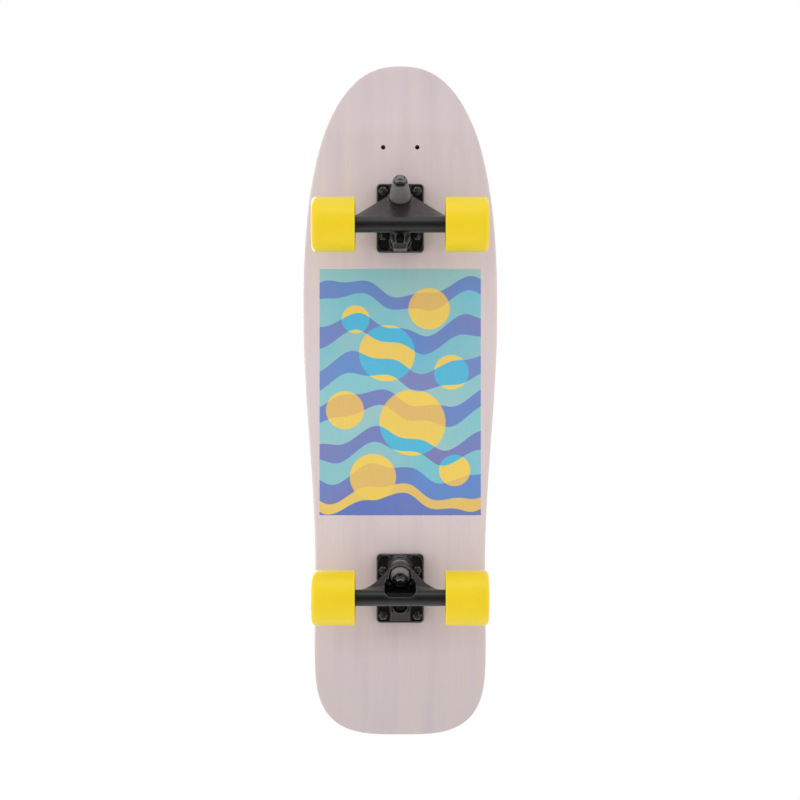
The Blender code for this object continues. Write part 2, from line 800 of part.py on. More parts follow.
def build_fasteners(truck, frame):
    """Riser pad, deck bolts and their nuts."""
    inboard, outboard = truck.plate_ends
    half = PLATE_WIDTH / 2.0
    outline = box_outline(inboard, outboard, -half, half, PLATE_CORNER)
    top = -FIT_GAP
    pad = piece(
        f"{truck.name}_riser", prism(outline, top - RISER_THICKNESS, top), pad_rubber(), frame
    )
    foot = truck.ring_u - truck.ring_w * math.tan(truck.kingpin_lean)
    window = box_outline(
        foot - RISER_WINDOW_INBOARD,
        foot + RISER_WINDOW_OUTBOARD,
        -RISER_WINDOW_WIDTH / 2.0,
        RISER_WINDOW_WIDTH / 2.0,
        WINDOW_CORNER,
    )
    cut(pad, guide(f"{truck.name}_riser_window", prism(window, -2.0 * RISER_THICKNESS, FIT_GAP), frame))
    nut_seat = PLATE_FLOOR + FIT_GAP
    head_top = -MOUNT_DEPTH - GRIP_TOP
    tip = nut_seat + DECK_NUT_HEIGHT + BOLT_PROUD
    for index, (u, v) in enumerate(bolt_spots(truck), start=1):
        bm = turned(
            [
                (0.0, head_top),
                (BOLT_HEAD_RADIUS, head_top),
                (BOLT_RADIUS, head_top + HEAD_CONE),
                (BOLT_RADIUS, tip),
                (0.0, tip),
            ],
            SMALL_STEPS,
            ring=False,
        )
        spot = Matrix.Translation((u, v, 0.0))
        piece(f"{truck.name}_deck_bolt_{index}", bm, black_steel(), frame, spot)
        nut = hex_nut(DECK_NUT_WIDTH, DECK_NUT_HEIGHT, BOLT_RADIUS + FIT_GAP)
        nut_place = Matrix.Translation((u, v, nut_seat))
        piece(f"{truck.name}_deck_nut_{index}", nut, black_steel(), frame, nut_place)
        hole = cylinder(BOLT_RADIUS + HOLE_CLEARANCE, -2.0 * RISER_THICKNESS, PLATE_HEIGHT)
        tool = guide(f"{truck.name}_plate_hole_{index}", hole, frame, spot)
        cut(pad, tool)
        cut(bpy.data.objects[f"{truck.name}_baseplate"], tool)


def cup_radius():
    return PIVOT_NOSE_RADIUS + FIT_GAP + PIVOT_CUP_WALL


def front_tower_outline():
    """Side view (u, w) of the front baseplate's tower, from the seat of the bushing up to the pivot cup."""
    seat = along(FRONT.kingpin, -FRONT.seat - TOWER_BEHIND_SEAT)
    low = seat @ Vector((0.0, -TOWER_SEAT_LOW, 0.0))
    high = seat @ Vector((0.0, SEAT_BOSS_RADIUS - TOWER_SEAT_INSET, 0.0))
    pivot = along(FRONT.steering, FRONT.cup_from_ring)
    mouth = pivot @ Vector((0.0, TOWER_ROAD_SIDE, TOWER_PAST_MOUTH))
    inside = cup_radius() + PIVOT_BOSS_WALL - TOWER_THROAT_INSET
    throat = pivot @ Vector((0.0, inside, TOWER_PAST_MOUTH))
    end = pivot @ Vector((0.0, TOWER_ROAD_SIDE, PIVOT_CUP_DEPTH + TOWER_PAST_CUP))
    inboard = FRONT.plate_ends[0] + 2.0 * BOSS_INSET
    return [
        (inboard, BLOCK_FOOT),
        (low.x, BLOCK_FOOT),
        (low.x, low.z),
        (high.x, high.z),
        (throat.x, throat.z),
        (mouth.x, mouth.z),
        (end.x, end.z),
        (inboard, end.z - TOWER_BACK_DROP),
    ]


def rear_saddle_outline():
    """Side view (u, w) of the block under the rear pivot cup, which slopes to the outboard edge."""
    pivot = along(REAR.steering, REAR.cup_from_ring)
    mouth = pivot @ Vector((0.0, 0.0, SADDLE_PAST_MOUTH))
    end = pivot @ Vector((0.0, 0.0, PIVOT_CUP_DEPTH))
    outboard = REAR.plate_ends[1] - SADDLE_EDGE_INSET
    return [
        (mouth.x - SADDLE_MOUTH_RUN, BLOCK_FOOT),
        (outboard, BLOCK_FOOT),
        (outboard, PLATE_HEIGHT - SADDLE_BELOW_RIM),
        (end.x + SADDLE_CREST_RUN, end.z + SADDLE_CREST_RISE),
        (mouth.x, mouth.z),
    ]


def within_plate(bm, inboard):
    """Boss trimmed where it would pass the plate's mounting face or its inboard edge."""
    for point, normal in (
        ((0.0, 0.0, BOSS_FOOT), (0.0, 0.0, -1.0)),
        ((inboard + BOSS_INSET, 0.0, 0.0), (-1.0, 0.0, 0.0)),
    ):
        geom = bm.verts[:] + bm.edges[:] + bm.faces[:]
        found = bmesh.ops.bisect_plane(
            bm, geom=geom, dist=1e-7, plane_co=point, plane_no=normal, clear_outer=True
        )
        rim = [item for item in found["geom_cut"] if isinstance(item, bmesh.types.BMEdge)]
        bmesh.ops.edgenet_fill(bm, edges=rim)
    bmesh.ops.recalc_face_normals(bm, faces=bm.faces)
    return bm


def cup_slot(truck, half_outline):
    """Slot that opens the pivot cup's boss to the road, in the steering frame."""
    side = 1.0 if truck.pivot_outboard else -1.0
    points = [(x, truck.cup_from_ring + t) for x, t in half_outline]
    points += [(-x, t) for x, t in reversed(points)]
    floor, top = side * SLOT_FLOOR, side * SLOT_HEIGHT
    return loft([[(x, y, t) for x, t in points] for y in (floor, top)])


def add_front_tower(plate, frame):
    """Tower up to the front pivot cup, with its round foot and its tapered boss."""
    tower = side_prism(front_tower_outline(), TOWER_HALF_WIDTH)
    join(plate, guide("front_tower", tower, frame))
    foot = cylinder(TOWER_FOOT_RADIUS, BLOCK_FOOT, PLATE_HEIGHT + TOWER_FOOT_RISE, BUSHING_STEPS)
    place = Matrix.Translation((FRONT.plate_ends[0] + TOWER_FOOT_INBOARD, 0.0, 0.0))
    join(plate, guide("front_tower_foot", foot, frame, place))


def add_rear_saddle(plate, frame):
    """Block under the rear pivot cup, and the room beside it for the pivot nose."""
    saddle = side_prism(rear_saddle_outline(), SADDLE_HALF_WIDTH)
    join(plate, guide("rear_pivot_saddle", saddle, frame))
    room = box_outline(ROOM_INBOARD, ROOM_OUTBOARD, -ROOM_HALF_WIDTH, ROOM_HALF_WIDTH, POCKET_CORNER)
    cut(plate, guide("rear_nose_room", prism(room, ROOM_FLOOR, 2.0 * PLATE_HEIGHT), frame))


def build_baseplate(truck, frame):
    """Cast plate with nut pockets, the bushing's seat, the kingpin's bore and the pivot cup's socket."""
    inboard, outboard = truck.plate_ends
    half = PLATE_WIDTH / 2.0
    outline = box_outline(inboard, outboard, -half, half, PLATE_CORNER)
    plate = piece(f"{truck.name}_baseplate", prism(outline, 0.0, PLATE_HEIGHT), cast_black(), frame)
    pocket = box_outline(
        inboard + PLATE_RIM,
        outboard - PLATE_RIM,
        HUMP_WIDTH / 2.0,
        half - PLATE_RIM,
        POCKET_CORNER,
        POCKET_INBOARD_CORNER,
    )
    for index, side in enumerate((1.0, -1.0), start=1):
        bm = prism([(u, side * v) for u, v in pocket], PLATE_FLOOR, 2.0 * PLATE_HEIGHT)
        cut(plate, guide(f"{truck.name}_nut_pocket_{index}", bm, frame))
    start = truck.cup_from_ring
    mouth_radius = end_radius = cup_radius() + PIVOT_BOSS_WALL
    slot = REAR_SLOT
    if truck.pivot_outboard:
        add_rear_saddle(plate, frame)
    else:
        add_front_tower(plate, frame)
        mouth_radius, end_radius, slot = FRONT_BOSS_MOUTH, FRONT_BOSS_END, FRONT_SLOT
    seat_boss = cylinder(
        SEAT_BOSS_RADIUS, -truck.seat - SEAT_BOSS_LENGTH, -truck.seat + SEAT_RIM, BUSHING_STEPS
    )
    seat_boss.transform(truck.kingpin)
    join(plate, guide(f"{truck.name}_seat_boss", within_plate(seat_boss, inboard), frame))
    end = start + PIVOT_CUP_DEPTH + PIVOT_BOSS_WALL
    cup_boss = cylinder(mouth_radius, start, end, BUSHING_STEPS, end_radius)
    cup_boss.transform(truck.steering)
    join(plate, guide(f"{truck.name}_cup_boss", within_plate(cup_boss, inboard), frame))
    cut(plate, guide(f"{truck.name}_cup_slot", cup_slot(truck, slot), frame, truck.steering))
    cup_room = cylinder(
        cup_radius() + FIT_GAP, start - PIVOT_TOOL_PAST_MOUTH, start + PIVOT_CUP_DEPTH, TUBE_STEPS
    )
    cut(plate, guide(f"{truck.name}_cup_socket", cup_room, frame, truck.steering))
    seat_room = cylinder(CUP_WASHER_RADIUS + SOCKET_CLEARANCE, -truck.seat, 0.0, BUSHING_STEPS)
    cut(plate, guide(f"{truck.name}_seat_room", seat_room, frame, truck.kingpin))
    bore = cylinder(KINGPIN_RADIUS + FIT_GAP, -truck.seat - 2.0 * SEAT_WALL, 0.0, TUBE_STEPS)
    cut(plate, guide(f"{truck.name}_kingpin_bore", bore, frame, truck.kingpin))
    head = prism(
        [(x, y) for x, y, _ in hexagon_loop(KINGPIN_HEAD_WIDTH + 2.0 * SOCKET_CLEARANCE, 0.0)],
        -truck.seat - HEAD_TOOL_LENGTH,
        -truck.seat - SEAT_WALL,
    )
    cut(plate, guide(f"{truck.name}_head_pocket", head, frame, truck.kingpin))


def build_pivot_cup(truck, frame):
    """Plastic cup in the baseplate round the pivot nose."""
    inner = PIVOT_NOSE_RADIUS + FIT_GAP
    outer = cup_radius()
    depth = PIVOT_CUP_DEPTH - FIT_GAP
    floor = depth - PIVOT_CUP_FLOOR
    bm = turned(
        [
            (0.0, floor),
            (0.5 * inner, floor),
            (inner, floor - 0.4 * inner),
            (inner, 0.0),
            (outer, 0.0),
            (outer, depth),
            (0.0, depth),
        ],
        TUBE_STEPS,
        ring=False,
    )
    place = along(truck.steering, truck.cup_from_ring)
    piece(f"{truck.name}_pivot_cup", bm, cup_plastic(), frame, place)


def bushing(size, bore, shares):
    """Bushing whose side is full between two shares of its height."""
    low, high = (share * size.height for share in shares)
    return turned(
        [
            (bore, 0.0),
            (size.base_radius - BUSHING_BULGE, 0.0),
            (size.base_radius, low),
            (size.top_radius, high),
            (size.top_radius - BUSHING_BULGE, size.height),
            (bore, size.height),
        ],
        BUSHING_STEPS,
    )


def build_kingpin_stack(truck, frame):
    """Kingpin, bushings, washers and lock nut, each on the kingpin's axis."""
    head_face = -truck.seat - SEAT_WALL - FIT_GAP
    length = truck.nut_start + KINGPIN_NUT_HEIGHT + KINGPIN_PROUD - head_face
    pin = hex_bolt(KINGPIN_HEAD_WIDTH, KINGPIN_HEAD_HEIGHT, KINGPIN_RADIUS, length)
    piece(f"{truck.name}_kingpin", pin, black_steel(), frame, along(truck.kingpin, head_face))
    bore = KINGPIN_RADIUS + FIT_GAP
    cup_washer = sleeve(bore, CUP_WASHER_RADIUS, 0.0, CUP_WASHER_THICKNESS, BUSHING_STEPS)
    place = along(truck.kingpin, -truck.seat + FIT_GAP)
    piece(f"{truck.name}_boardside_washer", cup_washer, steel(), frame, place)
    barrel = bushing(truck.boardside, bore, BARREL_SIDE)
    place = along(truck.kingpin, -truck.ring_half - FIT_GAP - truck.boardside.height)
    piece(f"{truck.name}_boardside_bushing", barrel, grey_urethane(), frame, place)
    cone = bushing(truck.roadside, bore, CONE_SIDE)
    place = along(truck.kingpin, truck.ring_half + FIT_GAP)
    piece(f"{truck.name}_roadside_bushing", cone, grey_urethane(), frame, place)
    washer = sleeve(bore, TOP_WASHER_RADIUS, 0.0, TOP_WASHER_THICKNESS, BUSHING_STEPS)
    place = along(truck.kingpin, truck.nut_start - FIT_GAP - TOP_WASHER_THICKNESS)
    piece(f"{truck.name}_roadside_washer", washer, black_steel(), frame, place)
    nut = lock_nut(KINGPIN_NUT_WIDTH, KINGPIN_NUT_HEIGHT, bore)
    place = along(truck.kingpin, truck.nut_start)
    piece(f"{truck.name}_kingpin_nut", nut, black_steel(), frame, place)


# Hangers

HANGER_HALF = WHEEL_CENTRE - SPACER_LENGTH / 2.0 - BEARING_WIDTH - WASHER_ROOM
UPPER_SIDES = 7
LOWER_SIDES = 8
FRONT_WEB_WIDTH = 15.0 * MM  # half width over which the web is whole
REAR_WEB_WIDTH = 13.0 * MM
FRONT_WEB_START = 60.5 * MM  # distance from the middle at which the web leaves the axle's tube
REAR_WEB_START = 61.0 * MM
FRONT_WEB_FLARE = 1.0
REAR_WEB_FLARE = 2.2

# Lower side of each web in the middle plane, (u, w) from the tube's inboard side to its outboard side
FRONT_WEB = [
    (-9.0 * MM, 60.0 * MM),
    (-8.6 * MM, 55.0 * MM),
    (-4.0 * MM, 48.0 * MM),
    (11.5 * MM, 33.0 * MM),
    (32.0 * MM, 13.0 * MM),
    (38.0 * MM, 19.5 * MM),
    (22.9 * MM, 45.0 * MM),
    (11.4 * MM, AXLE_HEIGHT),
]
REAR_WEB = [
    (-16.0 * MM, 52.0 * MM),
    (-33.0 * MM, 33.5 * MM),
    (-30.0 * MM, 24.0 * MM),
    (-13.0 * MM, 17.0 * MM),
    (2.0 * MM, 11.5 * MM),
    (6.5 * MM, 22.0 * MM),
    (8.6 * MM, 46.0 * MM),
    (TUBE_RADIUS, AXLE_HEIGHT),
]

# Root of each pivot nose, (distance along the steering axis, radius)
FRONT_NOSE_ROOT = [
    (14.0 * MM, 8.5 * MM),
    (46.0 * MM, 8.5 * MM),
    (53.0 * MM, 6.0 * MM),
    (55.0 * MM, PIVOT_NOSE_RADIUS),
]
REAR_NOSE_ROOT = [(12.0 * MM, 8.0 * MM), (26.0 * MM, 7.0 * MM), (33.0 * MM, PIVOT_NOSE_RADIUS)]

# Opening over the rear bushings: its outboard wall in the middle plane, and half its outline about it
OPENING_CREST_U = -1.5 * MM
OPENING_ROOT_U = -10.5 * MM
OPENING_ROOT_W = 26.0 * MM
OPENING_LOW = 8.0 * MM
OPENING_CORNERS = [(0.0, 13.5 * MM), (-5.0 * MM, 18.6 * MM), (-14.0 * MM, 17.0 * MM)]
OPENING_ROUND = 13.6 * MM
OPENING_ROUND_STEPS = 8
SLEEVE_HALF = 22.0 * MM


def hanger_section(v, share, web):
    """Section across the axle: round on its road side, drawn out towards the web on the other."""
    points = []
    for i in range(1, UPPER_SIDES + 1):
        angle = math.pi * i / UPPER_SIDES
        points.append((TUBE_RADIUS * math.cos(angle), v, AXLE_HEIGHT + TUBE_RADIUS * math.sin(angle)))
    for i, (web_u, web_w) in enumerate(web, start=1):
        angle = math.pi * (1.0 + i / LOWER_SIDES)
        u = TUBE_RADIUS * math.cos(angle)
        w = AXLE_HEIGHT + TUBE_RADIUS * math.sin(angle)
        points.append((u + share * (web_u - u), v, w + share * (web_w - w)))
    return points


def hanger_body(web, whole, start, flare):
    """Tube and web as one skin along the axle."""
    span = start - whole
    stations = [whole + span * i / WEB_STEPS for i in range(WEB_STEPS + 1)] + [HANGER_HALF]
    stations = [-v for v in reversed(stations)] + stations
    loops = []
    for v in stations:
        out = min(max((start - abs(v)) / span, 0.0), 1.0)
        loops.append(hanger_section(v, out ** flare, web))
    bm = loft(loops)
    bmesh.ops.triangulate(bm, faces=bm.faces)
    return bm


def bushing_seats(truck, hanger, frame):
    """Bores the ring for the kingpin and clears a round seat for a bushing on each of its faces."""
    bore = cylinder(RING_BORE_RADIUS, -RING_TOOL_HALF, RING_TOOL_HALF, TUBE_STEPS)
    cut(hanger, guide(f"{truck.name}_ring_bore", bore, frame, truck.kingpin))
    room = truck.roadside.base_radius + SOCKET_CLEARANCE
    road = cylinder(room, truck.ring_half, truck.nut_start + SEAT_ROOM_PAST_NUT, BUSHING_STEPS)
    cut(hanger, guide(f"{truck.name}_roadside_seat", road, frame, truck.kingpin))
    room = CUP_WASHER_RADIUS + SOCKET_CLEARANCE
    board = cylinder(room, -truck.seat, -truck.ring_half, BUSHING_STEPS)
    cut(hanger, guide(f"{truck.name}_boardside_seat", board, frame, truck.kingpin))


def pivot_nose(truck, root):
    """Stub that turns in the pivot cup, with its root given as (distance along the axis, radius) points."""
    reach = truck.cup_from_ring + PIVOT_CUP_DEPTH - 2.0 * FIT_GAP - PIVOT_CUP_FLOOR
    start = root[0][0]
    radius = PIVOT_NOSE_RADIUS
    profile = [(0.0, start)] + [(r, t) for t, r in root]
    profile += [(radius, reach - 0.5 * radius), (0.5 * radius, reach), (0.0, reach)]
    return turned(profile, TUBE_STEPS, ring=False)


def build_hanger(truck, steer, frame):
    """Hanger casting with its axle tube, web, bushing ring and pivot nose."""
    finish = cast_black()
    shift = Matrix.Translation(-truck.ring_centre)
    name = f"{truck.name}_hanger"
    if truck.to_nose:
        body = hanger_body(FRONT_WEB, FRONT_WEB_WIDTH, FRONT_WEB_START, FRONT_WEB_FLARE)
    else:
        body = hanger_body(REAR_WEB, REAR_WEB_WIDTH, REAR_WEB_START, REAR_WEB_FLARE)
    hanger = piece(name, body, finish, steer, shift, crease=40.0)
    if not truck.to_nose:
        cut_kingpin_pocket(hanger, frame)
    lip = truck.ring_half + RING_LIP
    ring = cylinder(truck.ring_radius, -lip, lip, BUSHING_STEPS)
    join(hanger, guide(f"{truck.name}_ring", ring, frame, truck.kingpin))
    root = FRONT_NOSE_ROOT if truck.to_nose else REAR_NOSE_ROOT
    join(hanger, guide(f"{truck.name}_nose", pivot_nose(truck, root), frame, truck.steering))
    bushing_seats(truck, hanger, frame)
    bore = cylinder(AXLE_RADIUS + FIT_GAP, -WHEEL_CENTRE, WHEEL_CENTRE, TUBE_STEPS)
    cut(hanger, guide(f"{truck.name}_axle_bore", bore, frame, axle_frame(0.0, 1.0)))


def cut_kingpin_pocket(hanger, frame):
    """Opens the rear hanger over its bushings and leaves a sleeve round the axle."""
    rise = AXLE_HEIGHT + TUBE_RADIUS - OPENING_ROOT_W
    slope = (OPENING_CREST_U - OPENING_ROOT_U) / rise
    ring = REAR.ring_u - OPENING_ROOT_U
    side = [*OPENING_CORNERS, (ring, OPENING_ROUND)]
    outline = list(side)
    for i in range(1, OPENING_ROUND_STEPS):
        angle = math.pi * i / OPENING_ROUND_STEPS
        outline.append((ring - OPENING_ROUND * math.sin(angle), OPENING_ROUND * math.cos(angle)))
    outline += [(u, -v) for u, v in reversed(side)]
    loops = []
    for w in (OPENING_LOW, AXLE_HEIGHT + 2.0 * TUBE_RADIUS):
        middle = OPENING_ROOT_U + slope * (w - OPENING_ROOT_W)
        loops.append([(middle + u, v, w) for u, v in outline])
    cut(hanger, guide("rear_kingpin_pocket", loft(loops), frame))
    wall = cylinder(AXLE_RADIUS + FIT_GAP + AXLE_WALL, -SLEEVE_HALF, SLEEVE_HALF, TUBE_STEPS)
    join(hanger, guide("rear_axle_sleeve", wall, frame, axle_frame(0.0, 1.0)))


# Axles and wheels


def axle_frame(v, outward, turn=0.0):
    """Frame on the axle with Z outward along it, turned about it."""
    matrix = Matrix.Identity(4)
    matrix.col[0] = (1.0, 0.0, 0.0, 0.0)
    matrix.col[1] = (0.0, 0.0, -outward, 0.0)
    matrix.col[2] = (0.0, outward, 0.0, 0.0)
    matrix.col[3] = (0.0, v, AXLE_HEIGHT, 1.0)
    return matrix @ Matrix.Rotation(turn, 4, "Z")


def wheel_profile():
    """Wheel's section, (radius, z), outer face at +z. The tread's flats lie at the wheel's radius."""
    tread = WHEEL_RADIUS / math.cos(math.pi / WHEEL_STEPS)
    half = WHEEL_WIDTH / 2.0
    lip = WHEEL_OUTER_LIP
    seat = BEARING_RADIUS + FIT_GAP
    stop = SPACER_LENGTH / 2.0 - FIT_GAP
    recess = SPACER_LENGTH / 2.0 + BEARING_WIDTH
    outer = []
    for degrees in (0.0, 45.0, 90.0):
        angle = math.radians(degrees)
        outer.append((tread - lip * (1.0 - math.cos(angle)), half - lip * (1.0 - math.sin(angle))))
    return [
        (tread - WHEEL_INNER_LIP, -half),
        (tread, -half + WHEEL_INNER_LIP),
        *outer,
        (WHEEL_FACE_RADIUS, half),
        (WHEEL_RECESS_RADIUS, recess),
        (seat, recess),
        (seat, stop),
        (WHEEL_WEB_BORE, stop),
        (WHEEL_WEB_BORE, -stop),
        (seat, -stop),
        (seat, -recess),
        (WHEEL_RECESS_RADIUS, -recess),
        (WHEEL_FACE_RADIUS, -half),
    ]


def build_wheel(truck, steer, side):
    """One wheel with its two bearings, on the side of the board where y has the given sign."""
    v_sign = -side if truck.to_nose else side
    label = "left" if side > 0.0 else "right"
    name = f"{truck.name}_{label}"
    facet = math.pi / WHEEL_STEPS
    shift = Matrix.Translation(-truck.ring_centre)
    hub = empty(f"{name}_hub", steer, shift @ axle_frame(v_sign * WHEEL_CENTRE, v_sign, facet))
    piece(f"{name}_wheel", turned(wheel_profile(), WHEEL_STEPS), yellow_urethane(), hub, crease=40.0)
    centre = SPACER_LENGTH / 2.0 + BEARING_WIDTH / 2.0
    bore = AXLE_RADIUS + FIT_GAP
    half = BEARING_WIDTH / 2.0
    for end, offset in (("inner", -centre), ("outer", centre)):
        bm = sleeve(bore, BEARING_RADIUS, -half, half, BEARING_STEPS)
        place = Matrix.Translation((0.0, 0.0, offset))
        piece(f"{name}_{end}_bearing", bm, steel(), hub, place)
    spacer = sleeve(bore, SPACER_RADIUS, FIT_GAP, SPACER_LENGTH - FIT_GAP, SMALL_STEPS)
    start = WHEEL_CENTRE - SPACER_LENGTH / 2.0
    piece(f"{name}_spacer", spacer, steel(), steer, shift @ axle_frame(v_sign * start, v_sign))
    nut = lock_nut(AXLE_NUT_WIDTH, AXLE_NUT_HEIGHT, bore)
    start = WHEEL_CENTRE + centre + half + WASHER_ROOM
    piece(f"{name}_axle_nut", nut, steel(), steer, shift @ axle_frame(v_sign * start, v_sign))


def build_axle(truck, steer):
    nut_start = WHEEL_CENTRE + SPACER_LENGTH / 2.0 + BEARING_WIDTH + WASHER_ROOM
    end = nut_start + AXLE_NUT_HEIGHT + AXLE_PROUD
    tip = 0.2 * AXLE_RADIUS
    profile = [
        (0.0, -end),
        (AXLE_RADIUS - tip, -end),
        (AXLE_RADIUS, -end + tip),
        (AXLE_RADIUS, end - tip),
        (AXLE_RADIUS - tip, end),
        (0.0, end),
    ]
    place = Matrix.Translation(-truck.ring_centre) @ axle_frame(0.0, 1.0)
    piece(f"{truck.name}_axle", turned(profile, SMALL_STEPS, ring=False), steel(), steer, place)


def build_truck(truck):
    """One truck, from its baseplate to its wheels."""
    frame = truck_frame(truck)
    build_baseplate(truck, frame)
    build_fasteners(truck, frame)
    build_pivot_cup(truck, frame)
    build_kingpin_stack(truck, frame)
    steer = empty(f"{truck.name}_steering_axis", frame, Matrix.Translation(truck.ring_centre))
    build_hanger(truck, steer, frame)
    build_axle(truck, steer)
    for side in (1.0, -1.0):
        build_wheel(truck, steer, side)


def main():
    for item in list(bpy.data.objects):
        bpy.data.objects.remove(item, do_unlink=True)
    build_board()
    build_truck(FRONT)
    build_truck(REAR)


main()
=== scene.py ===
"""Cruiser skateboard: fine meshes, finishes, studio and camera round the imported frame.

Metres, +X to the nose, +Y to the rider's left, +Z up. A truck is modelled in its own frame, on its
baseplate's mounting face under the axle: u outboard, v along the axle, w from the deck to the road.
"""

import logging
import math
from collections.abc import Iterable, Sequence
from dataclasses import dataclass
from enum import Enum

import bmesh
import bpy
from bmesh.types import BMEdge, BMesh, BMVert
from bpy.types import Material, Node, NodeSocket, NodeTree, Object
from mathutils import Matrix, Vector


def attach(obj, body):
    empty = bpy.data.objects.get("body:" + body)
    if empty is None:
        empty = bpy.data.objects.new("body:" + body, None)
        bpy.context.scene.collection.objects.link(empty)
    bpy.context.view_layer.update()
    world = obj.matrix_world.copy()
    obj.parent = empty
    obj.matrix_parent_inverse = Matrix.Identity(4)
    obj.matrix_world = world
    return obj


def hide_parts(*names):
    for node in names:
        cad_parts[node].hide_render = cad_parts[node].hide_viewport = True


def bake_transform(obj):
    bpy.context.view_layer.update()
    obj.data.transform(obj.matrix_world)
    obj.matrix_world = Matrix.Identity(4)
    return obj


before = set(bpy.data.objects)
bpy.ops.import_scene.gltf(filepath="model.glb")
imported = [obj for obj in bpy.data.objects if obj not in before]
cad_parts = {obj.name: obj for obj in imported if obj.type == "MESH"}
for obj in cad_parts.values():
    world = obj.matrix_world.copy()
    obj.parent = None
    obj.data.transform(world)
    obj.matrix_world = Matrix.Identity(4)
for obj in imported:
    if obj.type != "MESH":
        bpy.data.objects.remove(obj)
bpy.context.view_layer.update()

MM = 0.001
Points = list[tuple[float, float]]
LOG = logging.getLogger("cruiser")


# Tools for meshes


class Joining(Enum):
    """What a boolean does with its tool."""

    ADD = "UNION"
    CUT = "DIFFERENCE"
    KEEP = "INTERSECT"


def raised(height: float) -> Matrix:
    """Makes the matrix of a shift along Z."""
    return Matrix.Translation((0.0, 0.0, height))


def mirrored(points: Points) -> Points:
    """Lists points backwards, with the sign of the second coordinate turned."""
    return [(first, -second) for first, second in reversed(points)]


def spun(profile: Points, steps: int, ring: bool = True) -> BMesh:
    """Turns a profile about Z.

    Args:
        profile: (radius, z) points, closed on themselves or between two poles.
        steps: Facets round the axis.
        ring: Whether the last point joins the first.

    Returns:
        The turned solid.
    """
    bm = bmesh.new()
    verts = [bm.verts.new((radius, 0.0, z)) for radius, z in profile]
    edges = [bm.edges.new(pair) for pair in zip(verts, verts[1:])]
    if ring:
        edges.append(bm.edges.new((verts[-1], verts[0])))
    bmesh.ops.spin(
        bm, geom=verts + edges, axis=(0.0, 0.0, 1.0), cent=(0.0, 0.0, 0.0),
        angle=2.0 * math.pi, steps=steps, use_merge=True,
    )
    bmesh.ops.remove_doubles(bm, verts=bm.verts, dist=1e-7)
    bmesh.ops.recalc_face_normals(bm, faces=bm.faces)
    return bm


def rod(radius: float, bottom: float, top: float, steps: int = 48, top_radius: float | None = None) -> BMesh:
    """Makes a round bar on Z.

    Args:
        radius: Its radius.
        bottom: Its lower end.
        top: Its upper end.
        steps: Facets round it.
        top_radius: The radius of its upper end, if that is another.

    Returns:
        The bar.
    """
    bm = bmesh.new()
    bmesh.ops.create_cone(
        bm, cap_ends=True, cap_tris=False, segments=steps, radius1=radius, radius2=top_radius or radius,
        depth=top - bottom, matrix=raised((bottom + top) / 2.0),
    )
    return bm


def sleeve(inner: float, outer: float, bottom: float, top: float, steps: int = 48) -> BMesh:
    """Makes a tube on Z.

    Args:
        inner: Its bore's radius.
        outer: Its outer radius.
        bottom: Its lower end.
        top: Its upper end.
        steps: Facets round it.

    Returns:
        The tube.
    """
    return spun([(inner, bottom), (outer, bottom), (outer, top), (inner, top)], steps)


def swept(outline: Iterable[Sequence[float]], by: Sequence[float]) -> BMesh:
    """Draws a flat outline out along a straight line.

    Args:
        outline: The points round it.
        by: The way and distance that it is drawn.

    Returns:
        The solid.
    """
    bm = bmesh.new()
    drawn = bmesh.ops.extrude_face_region(bm, geom=[bm.faces.new([bm.verts.new(p) for p in outline])])
    moved = [item for item in drawn["geom"] if isinstance(item, BMVert)]
    bmesh.ops.translate(bm, vec=Vector(by), verts=moved)
    bmesh.ops.recalc_face_normals(bm, faces=bm.faces)
    return bm


def box(low: Sequence[float], high: Sequence[float]) -> BMesh:
    """Makes a block.

    Args:
        low: Its lowest corner.
        high: Its highest corner.

    Returns:
        The block.
    """
    bm = bmesh.new()
    bmesh.ops.create_cube(bm, size=1.0)
    bmesh.ops.scale(bm, vec=Vector(high) - Vector(low), verts=bm.verts)
    bmesh.ops.translate(bm, vec=(Vector(low) + Vector(high)) / 2.0, verts=bm.verts)
    return bm


def rounded(bm: BMesh, edges: Iterable[BMEdge], radius: float, segments: int = 6) -> BMesh:
    """Rounds some edges.

    Args:
        bm: The mesh.
        edges: Its edges to round.
        radius: The radius of a square edge's round.
        segments: Facets across the round.

    Returns:
        The same mesh.
    """
    bmesh.ops.bevel(
        bm, geom=list(edges), offset=radius, offset_type="OFFSET", segments=segments,
        profile=0.5, affect="EDGES", clamp_overlap=True, material=-1,
    )
    return bm


def softened(bm: BMesh, radius: float, segments: int = 2, degrees: float = 35.0) -> BMesh:
    """Rounds every edge that is sharper than an angle.

    Args:
        bm: The mesh.
        radius: The radius of a square edge's round.
        segments: Facets across the round.
        degrees: The angle.

    Returns:
        The same mesh.
    """
    sharp = [e for e in bm.edges if e.is_manifold and e.calc_face_angle(0.0) > math.radians(degrees)]
    return rounded(bm, sharp, radius, segments)


def uprights(bm: BMesh) -> list[BMEdge]:
    """Lists the edges along Z."""
    return [e for e in bm.edges if (e.verts[0].co - e.verts[1].co).xy.length < 1e-7]


def rounded_box(low: Sequence[float], high: Sequence[float], radius: float, segments: int = 8) -> BMesh:
    """Makes a block with round upright edges.

    Args:
        low: Its lowest corner.
        high: Its highest corner.
        radius: The radius of its upright edges.
        segments: Facets across each round.

    Returns:
        The block.
    """
    bm = box(low, high)
    return rounded(bm, uprights(bm), radius, segments)


def placed(bm: BMesh, matrix: Matrix) -> BMesh:
    """Moves a mesh by a matrix and returns it."""
    bm.transform(matrix)
    return bm


